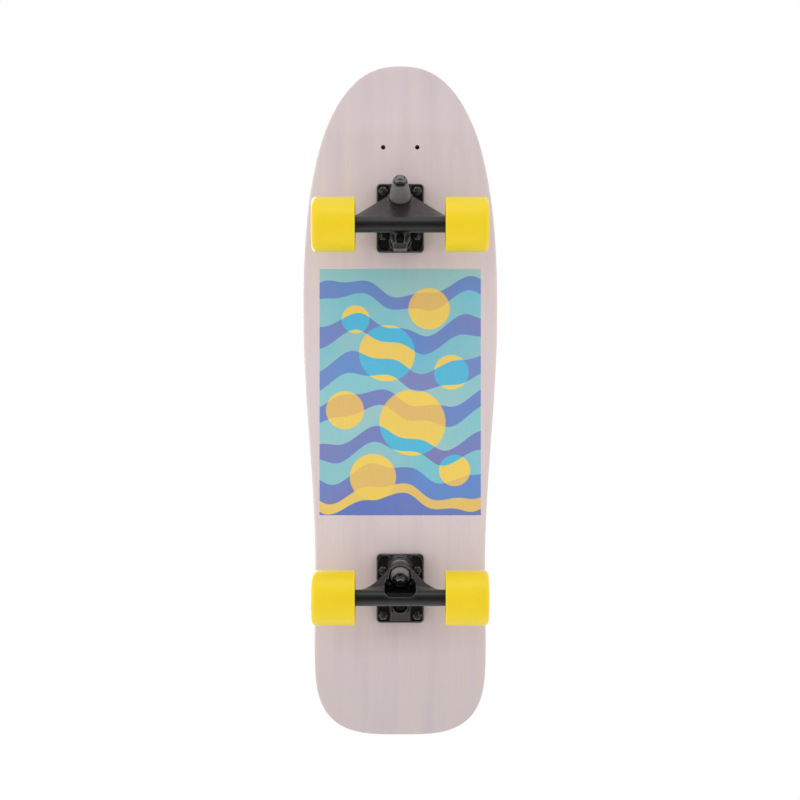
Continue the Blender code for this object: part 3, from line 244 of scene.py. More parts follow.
def sliced(bm: BMesh, point: Sequence[float], normal: Sequence[float], trim: bool = False) -> BMesh:
    """Divides a mesh along a plane.

    Args:
        bm: The mesh.
        point: A point of the plane.
        normal: The plane's normal.
        trim: Whether what lies past the plane goes and the cut is closed.

    Returns:
        The same mesh.
    """
    found = bmesh.ops.bisect_plane(
        bm, geom=bm.verts[:] + bm.edges[:] + bm.faces[:], dist=1e-6,
        plane_co=point, plane_no=normal, clear_outer=trim,
    )
    if trim:
        rim = [item for item in found["geom_cut"] if isinstance(item, BMEdge)]
        bmesh.ops.edgenet_fill(bm, edges=rim)
        bmesh.ops.recalc_face_normals(bm, faces=bm.faces)
    return bm


def added(name: str, bm: BMesh) -> Object:
    """Adds an object for a mesh and frees the bmesh.

    Args:
        name: Its name.
        bm: The mesh.

    Returns:
        The object.
    """
    mesh = bpy.data.meshes.new(name)
    bm.to_mesh(mesh)
    bm.free()
    made = bpy.data.objects.new(name, mesh)
    bpy.context.scene.collection.objects.link(made)
    return made


def settled(made: Object, tools: Iterable[Object] = ()) -> BMesh:
    """Takes the mesh that an object's modifiers give, and removes the object.

    Args:
        made: The object.
        tools: Objects that its modifiers used, removed too.

    Returns:
        The mesh.
    """
    bm = bmesh.new()
    bm.from_object(made, bpy.context.evaluated_depsgraph_get())
    for item in (made, *tools):
        mesh = item.data
        bpy.data.objects.remove(item)
        bpy.data.meshes.remove(mesh)
    return bm


def worked(bm: BMesh, steps: Iterable[tuple[Joining, BMesh]]) -> BMesh:
    """Joins tools to a solid, or cuts them from it, one after another.

    Args:
        bm: The solid.
        steps: What to do, and the tool.

    Returns:
        The result.
    """
    made = added("work", bm)
    tools = []
    for joining, tool in steps:
        tools.append(added("tool", tool))
        modifier = made.modifiers.new(f"step_{len(tools)}", "BOOLEAN")
        modifier.operation = joining.value
        modifier.solver = "EXACT"
        modifier.object = tools[-1]
    return settled(made, tools)


def cast(bm: BMesh, voxel: float, passes: int) -> BMesh:
    """Gives a solid the soft fillets and edges of a casting.

    Args:
        bm: The solid.
        voxel: The grain of its new skin.
        passes: How often the skin is smoothed.

    Returns:
        The casting.
    """
    made = added("casting", bm)
    remesh = made.modifiers.new("skin", "REMESH")
    remesh.mode = "VOXEL"
    remesh.voxel_size = voxel
    remesh.adaptivity = 0.0
    smooth = made.modifiers.new("fillets", "SMOOTH")
    smooth.factor = 0.5
    smooth.iterations = passes
    return settled(made)


def frame_at(origin: Sequence[float], along_u: float, along_w: float) -> Matrix:
    """Makes a frame in a truck's middle plane.

    Args:
        origin: Its origin.
        along_u: How far its Z points outboard.
        along_w: How far its Z points to the road.

    Returns:
        The frame, with X along the axle.
    """
    matrix = Matrix.Identity(4)
    matrix.col[0] = (0.0, 1.0, 0.0, 0.0)
    matrix.col[1] = (-along_w, 0.0, along_u, 0.0)
    matrix.col[2] = (along_u, 0.0, along_w, 0.0)
    matrix.col[3] = (*origin, 1.0)
    return matrix


# Tools for materials


def linear(colour: str) -> tuple[float, float, float, float]:
    """Turns an sRGB hex colour to linear RGBA.

    Args:
        colour: Six hex digits.

    Returns:
        The colour that shaders take.
    """
    channels = []
    for start in (0, 2, 4):
        value = int(colour[start:start + 2], 16) / 255.0
        channels.append(value / 12.92 if value <= 0.04045 else ((value + 0.055) / 1.055) ** 2.4)
    return (*channels, 1.0)


def wire(tree: NodeTree, node: Node, inputs: dict) -> None:
    """Sets or links a node's sockets.

    Args:
        tree: The tree.
        node: The node.
        inputs: By socket name or number: a value, or the socket or the node that feeds it, a node from its
            first output in use.
    """
    for key, value in inputs.items():
        if isinstance(value, Node):
            value = next(output for output in value.outputs if output.enabled)
        if isinstance(value, NodeSocket):
            tree.links.new(value, node.inputs[key])
        else:
            node.inputs[key].default_value = value


def add_node(tree: NodeTree, kind: str, inputs: dict | None = None, **settings: object) -> Node:
    """Adds a node.

    Args:
        tree: The tree.
        kind: The node's type name, less "ShaderNode".
        inputs: Its sockets, as wire takes them.
        **settings: Its properties.

    Returns:
        The node.
    """
    made = tree.nodes.new(f"ShaderNode{kind}")
    for name, value in settings.items():
        setattr(made, name, value)
    wire(tree, made, inputs or {})
    return made


def paint_ramp(ramp: Node, stops: Sequence[tuple[float, str]], steps: bool = False) -> Node:
    """Gives a colour ramp its stops.

    Args:
        ramp: The ramp's node.
        stops: (place, hex colour) from 0 to 1.
        steps: Whether the colour jumps at each stop.

    Returns:
        The ramp's node.
    """
    if steps:
        ramp.color_ramp.interpolation = "CONSTANT"
    elements = ramp.color_ramp.elements
    while len(elements) < len(stops):
        elements.new(1.0)
    for element, (place, colour) in zip(elements, stops):
        element.position = place
        element.color = linear(colour)
    return ramp


@dataclass(frozen=True)
class Finish:
    """A surface: what it is made of and how it was made."""

    name: str  # material and process
    slot: str | None  # the record's slot, or nothing
    colour: str  # base colour
    roughness: float  # middle roughness
    metallic: float = 0.0  # 1 for bare metal
    spread: float = 0.05  # how far the roughness strays
    grain: float = 1.0 * MM  # distance between bumps
    depth: float = 0.02 * MM  # height of the bumps
    tone: float = 0.05  # how far the colour strays, as a share of its brightness
    shine: float = 0.5  # specular level; less than 0.5 dulls the reflections

    def material(self) -> Material:
        """Makes the material, once for each name."""
        made = bpy.data.materials.get(self.name)
        if made is None:
            made = bpy.data.materials.new(self.name)
            made.use_nodes = True
            made.diffuse_color = linear(self.colour)
            shader = made.node_tree.nodes["Principled BSDF"]
            wire(made.node_tree, shader, {"Metallic": self.metallic, "Specular IOR Level": self.shine})
            self.dress(made.node_tree, shader)
        return made

    def dress(self, tree: NodeTree, shader: Node) -> None:
        """Builds the pattern: cloudy roughness, a faint shift of tone and a fine bump.

        Args:
            tree: The material's nodes.
            shader: Its shader.
        """
        place = add_node(tree, "TexCoord").outputs["Object"]
        clouds = add_node(
            tree, "TexNoise", {"Vector": place, "Scale": 1.0 / (12.0 * self.grain), "Detail": 4.0},
        )
        drifts = [
            add_node(
                tree, "MapRange",
                {
                    "Value": clouds, "From Min": 0.3, "From Max": 0.7,
                    "To Min": middle - reach, "To Max": middle + reach,
                },
            )
            for middle, reach in ((self.roughness, self.spread), (1.0, self.tone))
        ]
        colour = add_node(tree, "HueSaturation", {"Color": linear(self.colour), "Value": drifts[1]})
        bumps = add_node(tree, "TexNoise", {"Vector": place, "Scale": 1.0 / self.grain, "Detail": 2.0})
        relief = add_node(tree, "Bump", {"Height": bumps, "Distance": self.depth, "Strength": 1.0})
        wire(tree, shader, {"Roughness": drifts[0], "Base Color": colour, "Normal": relief})


@dataclass(frozen=True)
class CastingCoat(Finish):
    """Powder coat on a casting. The mesh may carry a mask, 1 in hollows where shade is painted: near black,
    with little specular.
    """

    painted_shade: str = "0A0A0A"  # colour of the painted shade in the hollows: near black
    worn: str = "5C5A58"  # colour laid on the edges: partly wear of the coat, partly a painted highlight

    def dress(self, tree: NodeTree, shader: Node) -> None:
        """Builds the coat, lightens its edges with a painted highlight and some wear, and paints shade in the
        masked hollows.

        Args:
            tree: The material's nodes.
            shader: Its shader.
        """
        super().dress(tree, shader)
        shade_mask = add_node(tree, "Attribute", attribute_name="shade_mask").outputs["Fac"]
        coat = shader.inputs["Base Color"].links[0].from_socket
        # edges found by pointiness are lightened: a painted highlight, with some wear of the coat
        edge = add_node(tree, "NewGeometry").outputs["Pointiness"]
        thin = add_node(
            tree, "MapRange", {"Value": edge, "From Min": 0.511, "From Max": 0.531, "To Max": 0.8},
        )
        edge_worn_and_lit = add_node(tree, "Mix", {0: thin, 6: coat, 7: linear(self.worn)}, data_type="RGBA")
        # painted shade in the masked hollows: near black, with specular cut to 0.1 so that no reflection
        # lightens them
        skin = add_node(tree, "Mix", {0: shade_mask, 6: edge_worn_and_lit, 7: linear(self.painted_shade)}, data_type="RGBA")
        gloss = add_node(tree, "MapRange", {"Value": shade_mask, "To Min": 0.5, "To Max": 0.1})
        wire(tree, shader, {"Base Color": skin, "Specular IOR Level": gloss})


@dataclass(frozen=True)
class Urethane(Finish):
    """Cast urethane: light wanders a little under its skin, so its edges stay bright."""

    scatter: float = 0.5  # share of the light that does
    # how far it comes, for red, green and blue
    drift: tuple[float, float, float] = (4.0 * MM, 3.2 * MM, 0.6 * MM)

    def dress(self, tree: NodeTree, shader: Node) -> None:
        """Builds the skin and what lies under it.

        Args:
            tree: The material's nodes.
            shader: Its shader.
        """
        super().dress(tree, shader)
        under = {"Subsurface Weight": self.scatter, "Subsurface Radius": self.drift, "Subsurface Scale": 1.0}
        wire(tree, shader, under)


# Powder coat baked on cast aluminium: black with a soft sheen and a faint orange peel
CAST_BLACK = CastingCoat(
    "powder_coated_cast_aluminium", "black_casting", "191818", 0.31, 0.0, 0.05, 1.3 * MM, 0.03 * MM
)
# Zinc plate, passivated: bright grey metal, a little cloudy
ZINC = Finish("zinc_plated_steel", "zinc_steel", "A9ABAD", 0.30, 1.0, 0.07, 0.8 * MM, 0.006 * MM)
# Black oxide on steel: dark metal that still mirrors a light
BLACK_OXIDE = Finish("black_oxide_steel", "black_steel", "7A787C", 0.27, 1.0, 0.05, 0.8 * MM, 0.006 * MM)
# Hardened bearing steel, ground: the brightest metal on the board
GROUND_STEEL = Finish(
    "ground_bearing_steel", "bearing_steel", "C4C6C8", 0.18, 1.0, 0.04, 0.5 * MM, 0.002 * MM
)
# Nitrile seal, moulded: flat black
SEAL = Finish("moulded_nitrile_seal", "bearing_steel", "1C1C1E", 0.60, 0.0, 0.05, 0.6 * MM, 0.01 * MM)
# Urethane cast round the kingpin: waxy grey
GREY_URETHANE = Urethane(
    "cast_grey_urethane", "grey_urethane", "7A797B", 0.30, 0.0, 0.05, 1.5 * MM, 0.02 * MM, 0.03, 0.15
)
# Poured urethane, its tread turned: satin yellow, smooth to the eye
YELLOW_URETHANE = Urethane(
    "poured_yellow_urethane", "yellow_urethane", "EED100", 0.36, 0.0, 0.03, 1.8 * MM, 0.01 * MM, 0.012
)
# Riser pad, moulded rubber: dull black
RISER_RUBBER = Finish("moulded_riser_rubber", "riser_rubber", "1D1C1E", 0.75, 0.0, 0.05, 0.9 * MM, 0.03 * MM)
# Pivot cup, injection moulded black plastic, made darker and duller than the plastic as painted shade: even
# black, hardly a sheen
CUP_PLASTIC = Finish(
    "moulded_cup_plastic", "cup_plastic", "0D0D0E", 0.70, 0.0, 0.05, 0.8 * MM, 0.01 * MM, shine=0.15
)
# Nylon ring of a lock nut, dyed: waxy dark grey
NYLON = Finish("dyed_nylon_lock_ring", None, "2B2B2E", 0.45, 0.0, 0.04, 0.6 * MM, 0.01 * MM)


@dataclass(frozen=True)
class GritSheet(Finish):
    """Silicon carbide grit glued to a black sheet: matt, with glints of single grains."""

    grit: float = 0.9 * MM  # distance between grains; real grains lie 0.25 mm apart, too fine to show
    glint: str = "6A6A70"  # colour of the faces of grains that catch the light
    trodden: str = "1E1E20"  # colour where feet have dulled it

    def dress(self, tree: NodeTree, shader: Node) -> None:
        """Scatters grains, each a bump, some of them pale.

        Args:
            tree: The material's nodes.
            shader: Its shader.
        """
        place = add_node(tree, "TexCoord").outputs["Object"]
        grains = add_node(tree, "TexVoronoi", {"Vector": place, "Scale": 1.0 / self.grit, "Randomness": 1.0})
        tint = add_node(tree, "SeparateColor", {"Color": grains.outputs["Color"]})
        pale = add_node(tree, "MapRange", {"Value": tint, "From Min": 0.86, "From Max": 1.0, "To Max": 0.8})
        worn = add_node(tree, "TexNoise", {"Vector": place, "Scale": 14.0, "Detail": 3.0})
        ground = add_node(
            tree, "Mix", {0: worn, 6: linear(self.trodden), 7: linear(self.colour)}, data_type="RGBA",
        )
        colour = add_node(tree, "Mix", {0: pale, 6: ground, 7: linear(self.glint)}, data_type="RGBA")
        relief = add_node(
            tree, "Bump", {"Height": grains, "Distance": 0.35 * MM, "Strength": 0.9}, invert=True,
        )
        wire(tree, shader, {"Base Color": colour, "Normal": relief, "Roughness": self.roughness})


GRIT = GritSheet("silicon_carbide_grip_sheet", "grip", "2A2A2E", 0.92)


@dataclass(frozen=True)
class PrintedMaple(Finish):
    """Maple ply, stained pale, screen printed underneath and sealed with clear lacquer.

    The mesh carries "flat", where a point lay before the press: along, across and over the underside.
    """

    plies: int = 7  # how many there are
    thickness: float = 11.0 * MM  # of them all
    panel_middle: float = 13.6 * MM  # the print's middle along the board
    panel_length: float = 298.6 * MM  # the print's length
    panel_half_width: float = 97.8 * MM  # half of its width
    # length, height and slant of each of the two waves that bend the print's bands
    waves: tuple[tuple[float, float, float], ...] = (
        (150.0 * MM, 11.0 * MM, 9.0), (61.0 * MM, 4.0 * MM, -31.0),
    )
    # where each band starts, its colours in two clouds, and the colour of a disc over it
    bands: tuple[tuple[float, str, str, str], ...] = (
        (0.00, "4F6FC4", "5B77C2", "F2CE46"), (0.05, "EBC95A", "E5BE5C", "F2CE46"),
        (0.09, "6C74B8", "4C86CF", "E4BC5C"), (0.17, "8CC3C6", "6FC3D0", "F3D047"),
        (0.25, "5A7FC8", "7378B6", "2FB9DC"), (0.31, "74C4CF", "97C6C6", "F0CD4B"),
        (0.40, "5583CB", "6A7CC0", "E2B85E"), (0.47, "93C5C5", "7CC6CE", "F3D046"),
        (0.54, "7A7BB8", "558ACD", "35B7DB"), (0.62, "5FBBD2", "8AC3C5", "EFCB4F"),
        (0.70, "4E82CC", "7279B8", "2AB6DD"), (0.77, "8EC4C6", "63C0D3", "F1CE4A"),
        (0.86, "6A78BC", "5286CE", "E3BA5C"), (0.92, "98C4C2", "86C6CB", "F2CF49"),
    )
    # (along, across, radius) of the print's discs
    discs: tuple[tuple[float, float, float], ...] = (
        (101.0 * MM, 35.0 * MM, 25.0 * MM), (88.0 * MM, -54.0 * MM, 17.0 * MM),
        (47.0 * MM, -16.0 * MM, 34.0 * MM), (24.0 * MM, 62.0 * MM, 21.0 * MM),
        (-22.0 * MM, -67.0 * MM, 23.0 * MM), (-37.0 * MM, 15.0 * MM, 40.0 * MM),
        (-95.0 * MM, 66.0 * MM, 19.0 * MM), (-103.0 * MM, -33.0 * MM, 28.0 * MM),
    )

    def streaks(
        self, tree: NodeTree, flat: NodeSocket, scale: tuple[float, float, float],
        detail: float, roughness: float = 0.5, distortion: float = 0.0,
    ) -> Node:
        """Draws noise out into streaks.

        Args:
            tree: The material's nodes.
            flat: Places before the press.
            scale: Streaks to a metre along, across and through the board.
            detail: How many finer layers the noise has.
            roughness: How strong those are.
            distortion: How far the streaks wander.

        Returns:
            The noise, from 0 to 1.
        """
        place = add_node(tree, "Mapping", {"Vector": flat, "Scale": scale})
        return add_node(
            tree, "TexNoise",
            {
                "Vector": place, "Scale": 1.0, "Detail": detail, "Roughness": roughness,
                "Distortion": distortion,
            },
        )

    def rolling(self, tree: NodeTree, place: Node) -> Node:
        """Gives each point of the print its share of the way through the rolling bands.

        Args:
            tree: The material's nodes.
            place: Places on the print.

        Returns:
            0 at the tail end of the print and 1 at its nose end, bent into waves.
        """
        parts = add_node(tree, "SeparateXYZ", {"Vector": place})
        along, across = parts.outputs["X"], parts.outputs["Y"]
        bent = along
        for length, height, slant in self.waves:
            phase = add_node(tree, "Math", {0: across, 1: 2.0 * math.pi / length}, operation="MULTIPLY")
            slanted = add_node(tree, "Math", {0: along, 1: slant, 2: phase}, operation="MULTIPLY_ADD")
            wave = add_node(tree, "Math", {0: slanted}, operation="SINE")
            bent = add_node(tree, "Math", {0: wave, 1: height, 2: bent}, operation="MULTIPLY_ADD")
        half = self.panel_length / 2.0
        return add_node(tree, "MapRange", {"Value": bent, "From Min": -half, "From Max": half})

    def disc_marks(self, tree: NodeTree, place: Node) -> Node:
        """Marks the discs of the print.

        Args:
            tree: The material's nodes.
            place: Places on the print.

        Returns:
            1 inside the discs and 0 outside them.
        """
        edge = 0.35 * MM
        marks = 0.0
        for along, across, radius in self.discs:
            away = add_node(tree, "VectorMath", {0: place, 1: (along, across, 0.0)}, operation="DISTANCE")
            inside = add_node(
                tree, "MapRange",
                {
                    "Value": away, "From Min": radius - edge, "From Max": radius + edge,
                    "To Min": 1.0, "To Max": 0.0,
                },
            )
            marks = add_node(tree, "Math", {0: marks, 1: inside}, operation="MAXIMUM")
        return marks

    def printed(self, tree: NodeTree, flat: NodeSocket) -> tuple[Node, Node]:
        """Draws the print: rolling bands of blue and teal under discs whose colour turns at each band.

        Args:
            tree: The material's nodes.
            flat: Places before the press.

        Returns:
            Nodes for its colour and for where it lies.
        """
        place = add_node(tree, "Mapping", {"Vector": flat, "Location": (-self.panel_middle, 0.0, 0.0)})
        share = self.rolling(tree, place)
        first, second, over_disc = (
            paint_ramp(
                add_node(tree, "ValToRGB", {"Fac": share}),
                [(band[0], band[column]) for band in self.bands],
                steps=True,
            )
            for column in (1, 2, 3)
        )
        cloud = add_node(tree, "TexNoise", {"Vector": place, "Scale": 9.0, "Detail": 2.0, "Roughness": 0.4})
        mixing = add_node(tree, "MapRange", {"Value": cloud, "From Min": 0.36, "From Max": 0.64})
        ground = add_node(tree, "Mix", {0: mixing, 6: first, 7: second}, data_type="RGBA")
        marks = self.disc_marks(tree, place)
        drawn = add_node(tree, "Mix", {0: marks, 6: ground, 7: over_disc}, data_type="RGBA")
        # the screen's edge wanders by half a millimetre
        ragged = add_node(tree, "TexNoise", {"Vector": place, "Scale": 420.0, "Detail": 2.0})
        size = add_node(tree, "VectorMath", {0: place}, operation="ABSOLUTE")
        corner = (self.panel_length / 2.0, self.panel_half_width, 1.0)
        past = add_node(tree, "VectorMath", {0: size, 1: corner}, operation="SUBTRACT")
        parts = add_node(tree, "SeparateXYZ", {"Vector": past})
        outside = add_node(tree, "Math", {0: parts.outputs["X"], 1: parts.outputs["Y"]}, operation="MAXIMUM")
        rough = add_node(tree, "Math", {0: ragged, 1: 1.0 * MM, 2: outside}, operation="MULTIPLY_ADD")
        lies = add_node(
            tree, "MapRange",
            {"Value": rough, "From Min": 0.3 * MM, "From Max": 0.8 * MM, "To Min": 1.0, "To Max": 0.0},
        )
        return drawn, lies

    def face(self, tree: NodeTree, flat: NodeSocket, pores: Node) -> Node:
        """Colours the underside: stained wood with its figure and pores, the print, and painted shade towards
        both ends.

        Args:
            tree: The material's nodes.
            flat: Places before the press.
            pores: The pores' noise.

        Returns:
            The colour.
        """
        # figure 25 mm wide and 400 mm long
        figure = self.streaks(tree, flat, (2.5, 40.0, 1.0), 3.0, 0.5, 0.3)
        wood = paint_ramp(
            add_node(tree, "ValToRGB", {"Fac": figure}),
            [(0.30, "D5C5C8"), (0.48, "DACBCD"), (0.60, "DDCDCB"), (0.74, "D6C8CA")],
        )
        shade = add_node(
            tree, "MapRange",
            {"Value": pores, "From Min": 0.35, "From Max": 0.62, "To Min": 0.975, "To Max": 1.005},
        )
        ink, lies = self.printed(tree, flat)
        cover = add_node(tree, "Math", {0: lies, 1: 0.93}, operation="MULTIPLY")
        inked = add_node(tree, "Mix", {0: cover, 6: wood, 7: ink}, data_type="RGBA")
        grained = add_node(tree, "VectorMath", {0: inked, "Scale": shade}, operation="SCALE")
        # painted shade: the underside darker towards both ends, most of all on the tail
        along = add_node(tree, "SeparateXYZ", {"Vector": flat}).outputs["X"]
        reach = add_node(tree, "MapRange", {"Value": along, "From Min": -0.41, "From Max": 0.41})
        end_shade = paint_ramp(
            add_node(tree, "ValToRGB", {"Fac": reach}),
            [
                (0.02, "EBEBEB"), (0.10, "F0F0F0"), (0.20, "F9F9F9"), (0.31, "FFFFFF"), (0.69, "FFFFFF"),
                (0.81, "FCFCFC"), (0.90, "F6F6F6"), (0.98, "F1F1F1"),
            ],
        )
        return add_node(tree, "VectorMath", {0: grained, 1: end_shade}, operation="MULTIPLY")

    def ply_edge(self, tree: NodeTree, flat: NodeSocket, height: NodeSocket) -> Node:
        """Colours the edge: plies 1.57 mm thick, every other one with its end grain showing.

        Args:
            tree: The material's nodes.
            flat: Places before the press.
            height: Over the underside.

        Returns:
            The colour.
        """
        ply = add_node(tree, "Math", {0: height, 1: self.thickness / self.plies}, operation="DIVIDE")
        pair = add_node(tree, "Math", {0: ply, 1: 2.0}, operation="MODULO")
        fibres = self.streaks(tree, flat, (220.0, 220.0, 1800.0), 3.0)
        wander = add_node(tree, "Math", {0: fibres, 1: 0.12, 2: pair}, operation="MULTIPLY_ADD")
        share = add_node(tree, "Math", {0: wander, 1: 0.5}, operation="MULTIPLY")
        return paint_ramp(
            add_node(tree, "ValToRGB", {"Fac": share}),
            [
                (0.00, "A98C6C"), (0.03, "DCC8A8"), (0.50, "DAC5A4"), (0.52, "B3946F"), (0.56, "C6A980"),
                (1.00, "C3A67D"),
            ],
        )

    def dress(self, tree: NodeTree, shader: Node) -> None:
        """Stains the wood, prints it and shows the plies at the edge.

        Args:
            tree: The material's nodes.
            shader: Its shader.
        """
        flat = add_node(tree, "Attribute", attribute_name="flat").outputs["Vector"]
        # pores 1.5 mm wide and 60 mm long
        pores = self.streaks(tree, flat, (16.0, 650.0, 1.0), 4.0, 0.6, 0.2)
        height = add_node(tree, "SeparateXYZ", {"Vector": flat}).outputs["Z"]
        above = add_node(tree, "MapRange", {"Value": height, "From Min": 1.45 * MM, "From Max": 1.65 * MM})
        face = self.face(tree, flat, pores)
        plies = self.ply_edge(tree, flat, height)
        colour = add_node(tree, "Mix", {0: above, 6: face, 7: plies}, data_type="RGBA")
        relief = add_node(tree, "Bump", {"Height": pores, "Distance": 0.05 * MM, "Strength": 0.5})
        wire(tree, shader, {"Base Color": colour, "Normal": relief, "Roughness": self.roughness})
        wire(tree, shader, {"Coat Weight": 0.25, "Coat Roughness": 0.22})


MAPLE = PrintedMaple("stained_maple_ply_under_lacquer", "deck_wood", "D6C9CA", 0.50)


def piece(
    name: str,
    bm: BMesh,
    finish: Finish,
    body: str | None,
    stands_for: Sequence[str] = (),
    crease: float = 35.0,
) -> Object:
    """Finishes one piece of the board.

    Args:
        name: Its name.
        bm: Its mesh, in place.
        finish: Its surface.
        body: The body that it rides on, or nothing.
        stands_for: The CAD nodes that it replaces.
        crease: Edges sharper than this many degrees stay sharp.

    Returns:
        The piece.
    """
    made = added(name, bm)
    made.data.materials.append(finish.material())
    made.data.shade_smooth()
    made.data.set_sharp_from_angle(angle=math.radians(crease))
    if body:
        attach(made, body)
    if stands_for:
        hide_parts(*stands_for)
    LOG.info("%s: %d faces on %s", name, len(made.data.polygons), body or "two bodies")
    return made


# Sizes that several pieces share


@dataclass(frozen=True)
class Fit:
    """Clearances and standard sizes."""

    gap: float = 0.3 * MM  # between faces that touch
    hole: float = 0.35 * MM  # round a bolt
    socket: float = 0.4 * MM  # round a head, nut or bushing in its seat
    washer_room: float = 1.3 * MM  # for a speed washer beside a wheel
    row_spacing: float = 53.98 * MM  # bolt rows along the board
    side_spacing: float = 41.28 * MM  # bolts across the board
    middle_to_row: float = 202.25 * MM  # from the board's middle to the inner bolt row
    shift: float = -2.006 * MM  # of the board along X, so that its tips are as far from the origin
    deck_bottom: float = 100.5 * MM  # height of the deck's underside
    mount_depth: float = 3.6 * MM  # from the underside to a baseplate's mounting face
    grip_top: float = 12.1 * MM  # from the underside to the top of the grip tape
    bolt: float = 2.4 * MM  # a deck bolt's radius
    bolt_head: float = 4.7 * MM  # the radius of its head
    kingpin: float = 4.75 * MM  # a kingpin's radius
    axle: float = 3.97 * MM  # an axle's radius
    axle_height: float = 64.4 * MM  # from the mounting face to the axle
    plate_floor: float = 3.0 * MM  # of a baseplate under its deck nuts
    plate_width: float = 57.2 * MM  # of a baseplate and its riser, across the board
    plate_corner: float = 5.0 * MM  # of both
    plate_inboard: float = 20.2 * MM  # from the bolts to their inboard edge
    plate_outboard: float = 8.7 * MM  # from the bolts to their outboard edge
    kingpin_head: float = 14.3 * MM  # across the flats of a kingpin's head
    seat_wall: float = 4.5 * MM  # between the bushing's seat and the kingpin's head
    cup_washer: float = 12.9 * MM  # radius of the washer under a bushing
    cup_washer_thickness: float = 1.6 * MM  # of that washer
    top_washer: float = 9.4 * MM  # radius of the washer under the kingpin nut
    top_washer_thickness: float = 1.3 * MM  # of that washer
    nose: float = 4.9 * MM  # radius of a pivot nose
    cup_wall: float = 2.0 * MM  # of a pivot cup
    cup_depth: float = 8.2 * MM  # of a pivot cup
    wheel_centre: float = 78.7 * MM  # from the board's centre line
    spacer: float = 10.0 * MM  # between the bearings
    bearing_width: float = 7.0 * MM  # of one bearing


FIT = Fit()


class End(Enum):
    """The end of the board that a truck steers."""

    NOSE = "front"
    TAIL = "rear"


@dataclass(frozen=True)
class BushingSizes:
    """One bushing: its height and its radius at the ring or washer and at the other end."""

    height: float
    base: float
    top: float


@dataclass(frozen=True)
class TruckLayout:
    """Where a truck's axes lie."""

    end: End  # the end that it steers
    bolts_from_axle: float  # how far outboard the middle of its bolts lies
    ring: tuple[float, float]  # (u, w) of the middle of the bushing ring
    ring_radius: float  # of the ring
    ring_half: float  # half of its thickness at the bushings
    lean: float  # the kingpin's angle from the mounting face's normal
    slope: float  # the steering axis' angle from the mounting face
    cup_from_ring: float  # from the ring's middle to the mouth of the pivot cup
    roadside: BushingSizes  # the bushing under the nut
    boardside: BushingSizes  # the bushing on the baseplate

    @property
    def name(self) -> str:
        """Its name in the pieces' names."""
        return self.end.value

    @property
    def world(self) -> Matrix:
        """From the truck's frame to the world."""
        reach = FIT.middle_to_row + FIT.row_spacing / 2.0 - self.bolts_from_axle
        height = FIT.deck_bottom - FIT.mount_depth
        way, axis = (1.0, "X") if self.end is End.NOSE else (-1.0, "Y")
        place = Matrix.Translation((FIT.shift + way * reach, 0.0, height))
        return place @ Matrix.Rotation(math.pi, 4, axis)

    @property
    def centre(self) -> Vector:
        """The middle of the ring."""
        return Vector((self.ring[0], 0.0, self.ring[1]))

    @property
    def kingpin(self) -> Matrix:
        """Frame at the ring's middle with Z along the kingpin to the road."""
        return frame_at(self.centre, math.sin(self.lean), math.cos(self.lean))

    @property
    def steering(self) -> Matrix:
        """Frame at the ring's middle with Z along the steering axis to the pivot."""
        sign = -1.0 if self.end is End.NOSE else 1.0
        return frame_at(self.centre, sign * math.cos(self.slope), -sign * math.sin(self.slope))

    @property
    def seat(self) -> float:
        """From the ring's middle to the baseplate's seat."""
        return self.ring_half + self.boardside.height + FIT.cup_washer_thickness + 3.0 * FIT.gap

    @property
    def nut_start(self) -> float:
        """From the ring's middle to the kingpin nut."""
        return self.ring_half + self.roadside.height + FIT.top_washer_thickness + 3.0 * FIT.gap

    @property
    def rows(self) -> tuple[float, float]:
        """Where its bolt rows lie."""
        half = FIT.row_spacing / 2.0
        return self.bolts_from_axle - half, self.bolts_from_axle + half

    @property
    def bolts(self) -> Points:
        """Where its four bolts lie, in the order of the CAD nodes."""
        half = FIT.side_spacing / 2.0
        return [(u, side * half) for u in self.rows for side in (1.0, -1.0)]

    def along_kingpin(self, distance: float) -> Matrix:
        """Frame on the kingpin, in the world, at a distance from the ring's middle."""
        return self.world @ self.kingpin @ raised(distance)

    @property
    def axle_line(self) -> Matrix:
        """Frame on the axle with Z along it."""
        return raised(FIT.axle_height) @ Matrix.Rotation(math.pi / 2.0, 4, "X")

    def beside(self, side: float, distance: float) -> Matrix:
        """Makes a frame on the axle, with Z outward.

        Args:
            side: 1 on the rider's left, -1 on the right.
            distance: From the board's middle.

        Returns:
            The frame, in the world.
        """
        outward = -side if self.end is End.NOSE else side
        matrix = Matrix.Identity(4)
        matrix.col[1] = (0.0, 0.0, -outward, 0.0)
        matrix.col[2] = (0.0, outward, 0.0, 0.0)
        matrix.col[3] = (0.0, outward * distance, FIT.axle_height, 1.0)
        return self.world @ matrix


FRONT = TruckLayout(
    end=End.NOSE,
    bolts_from_axle=18.1 * MM,
    ring=(30.6 * MM, 24.6 * MM),
    ring_radius=16.0 * MM,
    ring_half=4.75 * MM,
    lean=math.radians(50.0),
    slope=math.radians(36.0),
    cup_from_ring=58.3 * MM,
    roadside=BushingSizes(22.0 * MM, 13.0 * MM, 9.5 * MM),
    boardside=BushingSizes(12.4 * MM, 12.6 * MM, 12.6 * MM),
)

REAR = TruckLayout(
    end=End.TAIL,
    bolts_from_axle=-0.2 * MM,
    ring=(-24.9 * MM, 28.4 * MM),
    ring_radius=15.0 * MM,
    ring_half=4.5 * MM,
    lean=math.radians(22.0),
    slope=math.radians(23.0),
    cup_from_ring=38.0 * MM,
    roadside=BushingSizes(9.0 * MM, 12.4 * MM, 9.2 * MM),
    boardside=BushingSizes(12.7 * MM, 12.4 * MM, 12.4 * MM),
)


# Board


